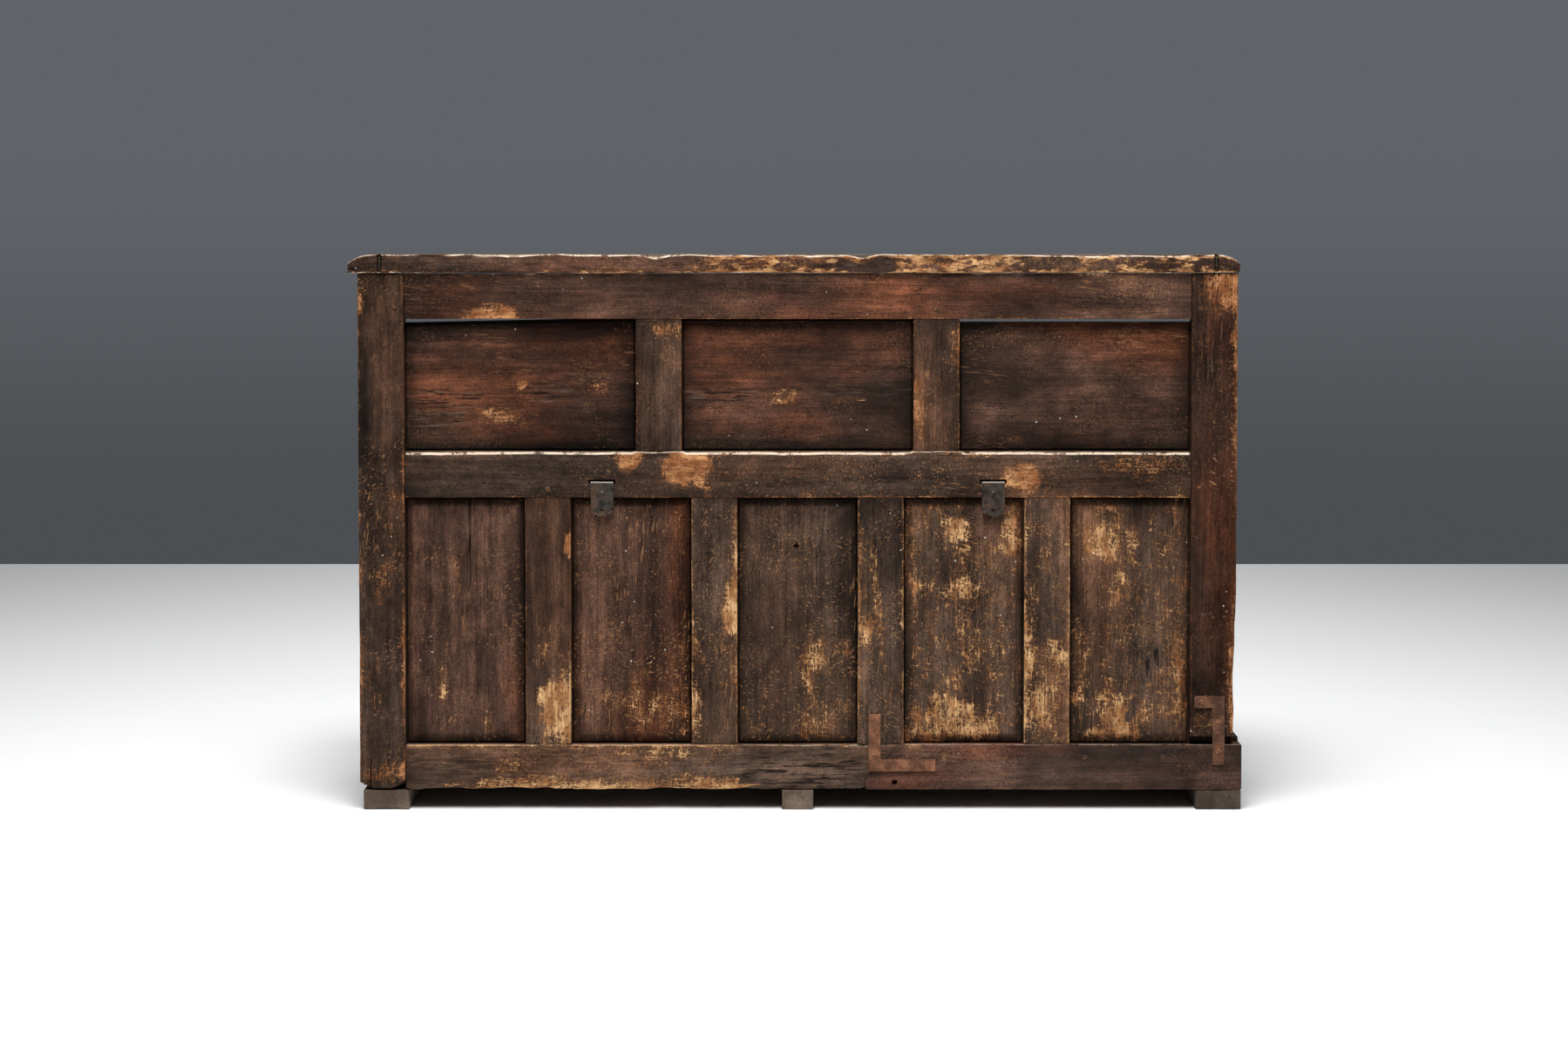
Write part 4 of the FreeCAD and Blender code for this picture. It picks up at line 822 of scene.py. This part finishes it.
# Seat: a fixed strip along the back, and a lid of two boards held together by two battens nailed on underneath.
# The lid is rubbed smooth and a little lighter where people sat, with a rounded front edge.
plank("seat_back_strip", "seat_strip", old_wood, "x", "yz", 0.0016, 0.002, 0.0008, 0.014, face="+z", inside="-z",
      bare=[(0.1, 0.15, 0.3, 0.015, 0.2)], tone=0.55)


def nosing(points, start, normal):
    """The front edge of the seat worn to a full round."""
    low, high = start.min(0), start.max(0)
    half = (high[2] - low[2]) / 2
    away = np.clip((low[1] + half - start[:, 1]) / half, 0, 1)
    reach = half * np.sqrt(np.clip(1 - away ** 2, 0.02, 1))
    centre = low[2] + half
    points[:, 2] = centre + np.clip(points[:, 2] - centre, -reach, reach)


seat_front = corners("lid_board_front")[0][1]
plank("seat_board_front", "lid_board_front", old_wood, "x", "xyz", 0.0022, 0.004, 0.0012, 0.014, shape=nosing,
      face="+z", inside="-z", cuts={"y": [seat_front + d for d in (0.0003, 0.0012, 0.003, 0.0055, 0.0085, 0.012)]},
      bare=[(-0.25, -0.19, 0.16, 0.03, 0.42), (0.3, -0.2, 0.18, 0.025, 0.45), (0.0, -0.13, 0.2, 0.03, 0.2)],
      tone=0.58, body="seat_lid")
plank("seat_board_back", "lid_board_back", old_wood, "x", "xyz", 0.0016, 0.003, 0.0012, 0.014, face="+z", inside="-z",
      bare=[(-0.3, 0.0, 0.15, 0.03, 0.25), (0.25, 0.03, 0.2, 0.03, 0.25)], tone=0.55, body="seat_lid")
for side in ("left", "right"):
    plank("seat_batten_" + side, "lid_batten_" + side, inner_wood, "y", "xyz", 0.003, 0.004, 0.001, body="seat_lid")


# Pegs and plugs: riven oak pins driven through the tenons, and round plugs over the repair's screws.
# Each stands a hair proud, with a rubbed head and an uneven, many-sided outline.
def solid(node):
    """The mesh of one CAD node, open to work on, with its points joined up."""
    bm = bmesh.new()
    bm.from_mesh(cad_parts[node].data)
    bmesh.ops.remove_doubles(bm, verts=bm.verts, dist=1e-6)
    return bm


def loose_parts(node):
    """The separate solids of one CAD node, each as an array of points, in a fixed order."""
    bm = solid(node)
    seen, parts = set(), []
    for first in bm.verts:
        if first.index in seen:
            continue
        seen.add(first.index)
        todo, part = [first], []
        while todo:
            point = todo.pop()
            part.append(tuple(point.co))
            for line in point.link_edges:
                other = line.other_vert(point)
                if other.index not in seen:
                    seen.add(other.index)
                    todo.append(other)
        parts.append(np.array(part))
    bm.free()
    return sorted(parts, key=lambda p: tuple(np.round(p.min(0), 4)))


def turned(rings, sides, twist=0.0, uneven=0.0, seed=0):
    """Points and faces of a pin: rings lists (place along it, radius) from end to end, and both ends are points."""
    rng = np.random.default_rng(seed)
    angle = twist + 2 * math.pi * (np.arange(sides) + uneven * rng.uniform(-0.5, 0.5, sides)) / sides
    bulge = 1 - uneven * 0.3 * rng.uniform(0, 1, sides)
    points = [np.stack([r * bulge * np.cos(angle), r * bulge * np.sin(angle), np.full(sides, a)], 1)
              for a, r in rings[1:-1]]
    points = np.concatenate([[[0, 0, rings[0][0]]]] + points + [[[0, 0, rings[-1][0]]]])
    count, last = len(rings) - 2, len(points) - 1
    beside = [(k, (k + 1) % sides) for k in range(sides)]
    faces = [(0, 1 + b, 1 + a) for a, b in beside]
    for base in range(1, 1 + (count - 1) * sides, sides):
        faces += [(base + a, base + b, base + sides + b, base + sides + a) for a, b in beside]
    base = 1 + (count - 1) * sides
    return points, faces + [(base + a, base + b, last) for a, b in beside]


def stood(points, axis, centre, flip=False):
    """Pin points turned from the third axis to another one and moved to their place."""
    points = points * np.array([1, -1, -1]) if flip else points
    turn = {0: [2, 0, 1], 1: [1, 2, 0], 2: [0, 1, 2]}[axis]
    return points[:, turn] + centre


def gather(name, made):
    """One object from several pins' points and faces."""
    points, faces, count = [], [], 0
    for some, joins in made:
        points.append(some)
        faces += [tuple(i + count for i in f) for f in joins]
        count += len(some)
    points = np.concatenate(points)
    pin_wear = [0.12, 0.5, 0.0, 0.42]
    return mesh_piece(name, points, faces, along_grain(points, "y", 5), np.tile(pin_wear, (len(points), 1)))


made = []
for number, part in enumerate(loose_parts("frame_pegs")):
    low, high = part.min(0), part.max(0)
    size = high - low
    axis = int(np.argmin([abs(size[(a + 1) % 3] - size[(a + 2) % 3]) for a in range(3)]))
    r, end = size[(axis + 1) % 3] / 2, size[axis] / 2
    head = [(0, 0), (0.0001, r * 0.6), (0.0005, r * 0.95), (0.002, r)]
    rings = [(-end + d, ring) for d, ring in head] + [(end - d, ring) for d, ring in reversed(head)]
    pin, joins = turned(rings, 11, number, 0.45, number)
    made.append((stood(pin, axis, (low + high) / 2), joins))
fit(gather("oak_pegs", made), "bench", old_wood, "frame_pegs")


# Strap hinges: flat wrought-iron straps curled round a pin, one half nailed to the lid, the other through the back
# and bent down over the rail. They are hammered, black with scale and brown where rust has come through.
w = new_finish("black wrought iron")
where = w.put("TexCoord").outputs
spot = where["Object"]
scale = w.cloud(spot, 110, 6, 0.7)
rust = w.fade(w.cloud(spot, 38, 6, 0.7), 0.46, 0.64)
colour = w.tint(w.fade(scale, 0.35, 0.65), (0.006, 0.005, 0.0042), (0.048, 0.037, 0.028))
colour = w.tint(w.times(rust, 0.6), colour, (0.105, 0.046, 0.022))
# Painted highlight, partly rubbed iron: the upward faces of the straps are laid over with pale grey, most on the
# bent-over part at the back.
highlit_bend = w.fade(w.split(spot)["Y"], 0.224, 0.231, 0.1, 0.9)
rubbed = w.times(w.fade(w.split(where["Normal"])["Z"], 0.4, 0.9), highlit_bend)
pits = w.fade(w.cloud(spot, 260, 4, 0.6), 0.3, 0.7)
w.out(Base_Color=w.tint(rubbed, colour, (0.3, 0.27, 0.23)),
      Roughness=w.plus(rust, 0.25, w.fade(scale, 0.3, 0.7, 0.42, 0.62)), Metallic=w.plus(rust, -0.12, 0.14),
      Normal=w.bump(0.55, 0.0007, w.plus(pits, 0.5, scale)), Specular_IOR_Level=0.3)
wrought_iron = ("wrought_iron", w.owner)


def forged(name, node, step, dent, bevel, shape=None):
    """A metal piece cut from its solid: arrises eased, faces cut into small squares and dented by the hammer."""
    bm = solid(node)
    bmesh.ops.dissolve_limit(bm, angle_limit=math.radians(1), verts=bm.verts, edges=bm.edges)
    sharp = [e for e in bm.edges if len(e.link_faces) == 2 and e.is_convex and e.calc_face_angle() > math.radians(40)]
    bmesh.ops.bevel(bm, geom=sharp, offset=bevel, segments=2, profile=0.6, affect="EDGES", clamp_overlap=True)
    low, high = corners(node)
    for axis, way in enumerate(np.eye(3)):
        for place in np.arange(low[axis] + step / 2, high[axis], step):
            bmesh.ops.bisect_plane(bm, geom=bm.verts[:] + bm.edges[:] + bm.faces[:], plane_co=way * place, plane_no=way,
                                   dist=1e-5)
    bm.normal_update()
    points = np.array([v.co for v in bm.verts])
    normals = np.array([v.normal for v in bm.verts])
    points -= normals * (dent * (0.5 + 0.5 * wander(points, 0.012, len(name))))[:, None]
    if shape:
        shape(points)
    for point, place in zip(bm.verts, np.clip(points, low, high)):
        point.co = place
    mesh = bpy.data.meshes.new(name)
    bm.to_mesh(mesh)
    bm.free()
    return smooth_piece(name, mesh, 50)


def clipped_tail(points):
    """The end of the strap that hangs down over the rail: its two corners are cut off."""
    hanging = points[:, 1] > 0.229
    middle = (points[:, 0].min() + points[:, 0].max()) / 2
    from_tip = points[:, 2] - points[hanging, 2].min()
    points[:, 0] += (middle - points[:, 0]) * np.where(hanging, np.clip(1 - from_tip / 0.009, 0, 1) * 0.42, 0)


for side in ("left", "right"):
    for half, body, shape in (("rear", "bench", clipped_tail), ("lid", "seat_lid", None)):
        node = f"hinge_{half}_strap_{side}"
        fit(forged(f"{half}_strap_{side}", node, 0.006, 0.0004, 0.0006, shape), body, wrought_iron, node)
fit(forged("strap_pins", "hinge_pins", 0.02, 0.0002, 0.0008), "bench", wrought_iron, "hinge_pins")


# Nails: hand-forged, with square tapered shanks and faceted rose heads, all a little different.
# They hold the cap, the seat strip, the floor, the straps and the lid's battens.
def rose_nails(name, node, body, extra=()):
    """Every nail of a CAD node, made again with a faceted head."""
    made = []
    for number, part in enumerate(loose_parts(node)):
        low, high = part.min(0), part.max(0)
        axis = int(np.argmax(high - low))
        others = [a for a in range(3) if a != axis]
        centre = (low + high) / 2
        spread = np.hypot(*(part[:, others] - centre[others]).T)
        widest = part[np.argmax(spread), axis]
        flip = widest < centre[axis]
        r, end = spread.max(), (high - low)[axis] / 2
        thick = abs((low if flip else high)[axis] - widest)
        shank = min(0.0016, r * 0.5)
        rings = [(-end, 0), (-end + 0.001, shank * 0.4), (end - thick - 0.0004, shank), (end - thick, r * 0.98),
                 (end - thick * 0.55, r * 0.8), (end - thick * 0.1, r * 0.28), (end, 0)]
        pin, joins = turned(rings, 7, number * 1.3, 0.5, number + 20)
        made.append((stood(pin, axis, centre, flip), joins))
    fit(gather(name, made + list(extra)), body, wrought_iron, node)


bared = []
bared_rings = [(-0.0085, 0), (-0.008, 0.0013), (0.003, 0.0017), (0.0095, 0.0019), (0.0105, 0.0026), (0.0112, 0)]
for number, x in enumerate(cap_nails):
    pin, joins = turned(bared_rings, 4, 0.8, 0.2, number)
    bared.append((stood(pin, 2, np.array([x, cap_high[1] - 0.005, 0.814])), joins))
rose_nails("rose_nails_frame", "frame_nails", "bench", bared)
rose_nails("rose_nails_lid", "lid_nails", "seat_lid")


# Braces: two bought flat steel angles screwed over the scarf and the rotten post, the latest repair.
# They have rusted to an even brown, and their slotted screws with them.
def rusted(name, dark_rust, light_rust):
    """Flat steel rusted all over, in blooms from dark to light."""
    w = new_finish(name)
    spot = w.put("TexCoord").outputs["Object"]
    bloom, grit = w.cloud(spot, 55, 7, 0.68), w.cloud(spot, 420, 4, 0.6)
    colour = w.tint(w.fade(bloom, 0.36, 0.66), dark_rust, light_rust)
    w.out(Base_Color=w.tint(w.fade(grit, 0.52, 0.68, 0.0, 0.75), colour, (0.032, 0.018, 0.013)),
          Roughness=w.fade(bloom, 0.3, 0.7, 0.55, 0.8), Metallic=w.fade(bloom, 0.3, 0.7, 0.15, 0.0),
          Normal=w.bump(0.5, 0.0005, w.plus(grit, 0.6, bloom)), Specular_IOR_Level=0.2)
    return "rusty_steel", w.owner


rusty_steel = rusted("rusted flat steel", (0.105, 0.045, 0.023), (0.275, 0.12, 0.062))
grimy_steel = rusted("grimy rusted steel", (0.06, 0.026, 0.015), (0.165, 0.072, 0.04))
for place, steel in (("scarf", rusty_steel), ("post", grimy_steel)):
    fit(forged("steel_angle_" + place, "brace_" + place, 0.006, 0.0002, 0.0004), "bench", steel, "brace_" + place)

slot_angle, head_thick, rim = 0.16, 0.0013, 0.0004
arc = np.linspace(slot_angle, math.pi - slot_angle, 11)
n = len(arc)
half_head = [tuple(range(2 * n, 3 * n)), tuple(range(n - 1, -1, -1))]
half_head += [(k * n + i, k * n + (i + 1) % n, (k + 1) * n + (i + 1) % n, (k + 1) * n + i)
              for k in (0, 1) for i in range(n)]
half_head = [tuple(reversed(f)) for f in half_head]
made = []
for number, part in enumerate(loose_parts("brace_screws")):
    low, high = part.min(0), part.max(0)
    centre = (low + high) / 2
    r, long = (high - low)[0] / 2, high[1] - low[1]
    rings = [(0, 0), (0.001, r * 0.3), (0.013, r * 0.45), (long - head_thick, r * 0.9), (long - 0.0009, 0)]
    shank, joins = turned(rings, 16)
    made.append((stood(shank, 1, np.array([centre[0], low[1], centre[2]])), joins))
    for side in (0, math.pi):
        flat = np.stack([np.cos(arc), np.sin(arc)], 1) * r
        inner = flat * 0.86
        inner[[0, -1]] = [[flat[0, 0] * 0.9, flat[0, 1]], [flat[-1, 0] * 0.9, flat[-1, 1]]]
        turn = 0.5 + 1.1 * number + side
        spin = np.array([[math.cos(turn), math.sin(turn)], [-math.sin(turn), math.cos(turn)]])
        rings = [np.column_stack([ring @ spin, np.full(n, depth)])
                 for ring, depth in ((flat, -head_thick), (flat, -rim), (inner, 0.0))]
        made.append((np.concatenate(rings)[:, [0, 2, 1]] + np.array([centre[0], high[1], centre[2]]), half_head))
fit(gather("slotted_screws", made), "bench", rusty_steel, "brace_screws")


# Studio: a pale floor that ends well behind the bench and has painted shade, darker with distance from the bench; a
# grey surround; and large soft lights.
# The camera stands behind the bench, a little above its cap, as in the photograph.
w = new_finish("pale floor")
spot = w.put("TexCoord").outputs["Object"]
paint = w.tint(w.cloud(spot, 1.5, 3), (0.8, 0.8, 0.8), (0.84, 0.84, 0.84))
painted_falloff_distance = w.put("VectorMath", {"operation": "LENGTH"}, Vector=spot).outputs["Value"]
# Painted shade: the floor is laid over with dark grey from 1 m to 4 m out from the bench, as if the light fell off.
w.out(Base_Color=w.tint(w.fade(painted_falloff_distance, 1.0, 4.0, 0, 0.45), paint, (0.2, 0.2, 0.2)), Roughness=0.8)
floor_half, floor_near, floor_far = 8, 9, -3.14
floor_edge = np.array([(-floor_half, floor_far, 0), (floor_half, floor_far, 0), (floor_half, floor_near, 0),
                       (-floor_half, floor_near, 0)], float)
floor = mesh_piece("studio_floor", floor_edge, [(0, 1, 2, 3)])
floor.data.materials.append(w.owner)

world = bpy.data.worlds.new("grey surround")
bpy.context.scene.world = world
world.use_nodes = True
w = Wiring(world, world.node_tree, None, world.node_tree.nodes["Background"].inputs)
sky = w.split(w.put("TexCoord").outputs["Generated"])
wall = w.tint(w.fade(sky["Z"], -0.09, 0.03), (0.072, 0.078, 0.085), (0.118, 0.126, 0.138))
w.out(Color=w.tint(w.fade(sky["Y"], -0.3, 0.6, 0.0, 0.8), wall, (0.012, 0.013, 0.014)))

for name, place, size, power in (("overhead", (0.1, 1.9, 4.0), 2.4, 250), ("camera_fill", (0.3, 4.2, 4.9), 2.4, 60),
                                 ("front_fill", (0.0, -4.2, 3.6), 3.0, 90)):
    lamp = bpy.data.lights.new(name, "AREA")
    lamp.energy, lamp.size = power, size
    holder = stand(name, lamp)
    holder.location = place
    holder.rotation_euler = (holder.location - Vector((0, 0, 0.35))).to_track_quat("Z", "Y").to_euler()
    holder.visible_camera = False

lens = bpy.data.cameras.new("photo_camera")
lens.lens, lens.sensor_width, lens.shift_y = 69.645, 36.0, -0.10
camera = stand("photo_camera", lens)
camera.location = (0.0203, 4.73, 0.86)
camera.rotation_euler = (math.radians(90 - 2.503), 0, math.radians(180))
bpy.context.scene.camera = camera
bpy.context.scene.view_settings.view_transform = "Standard"
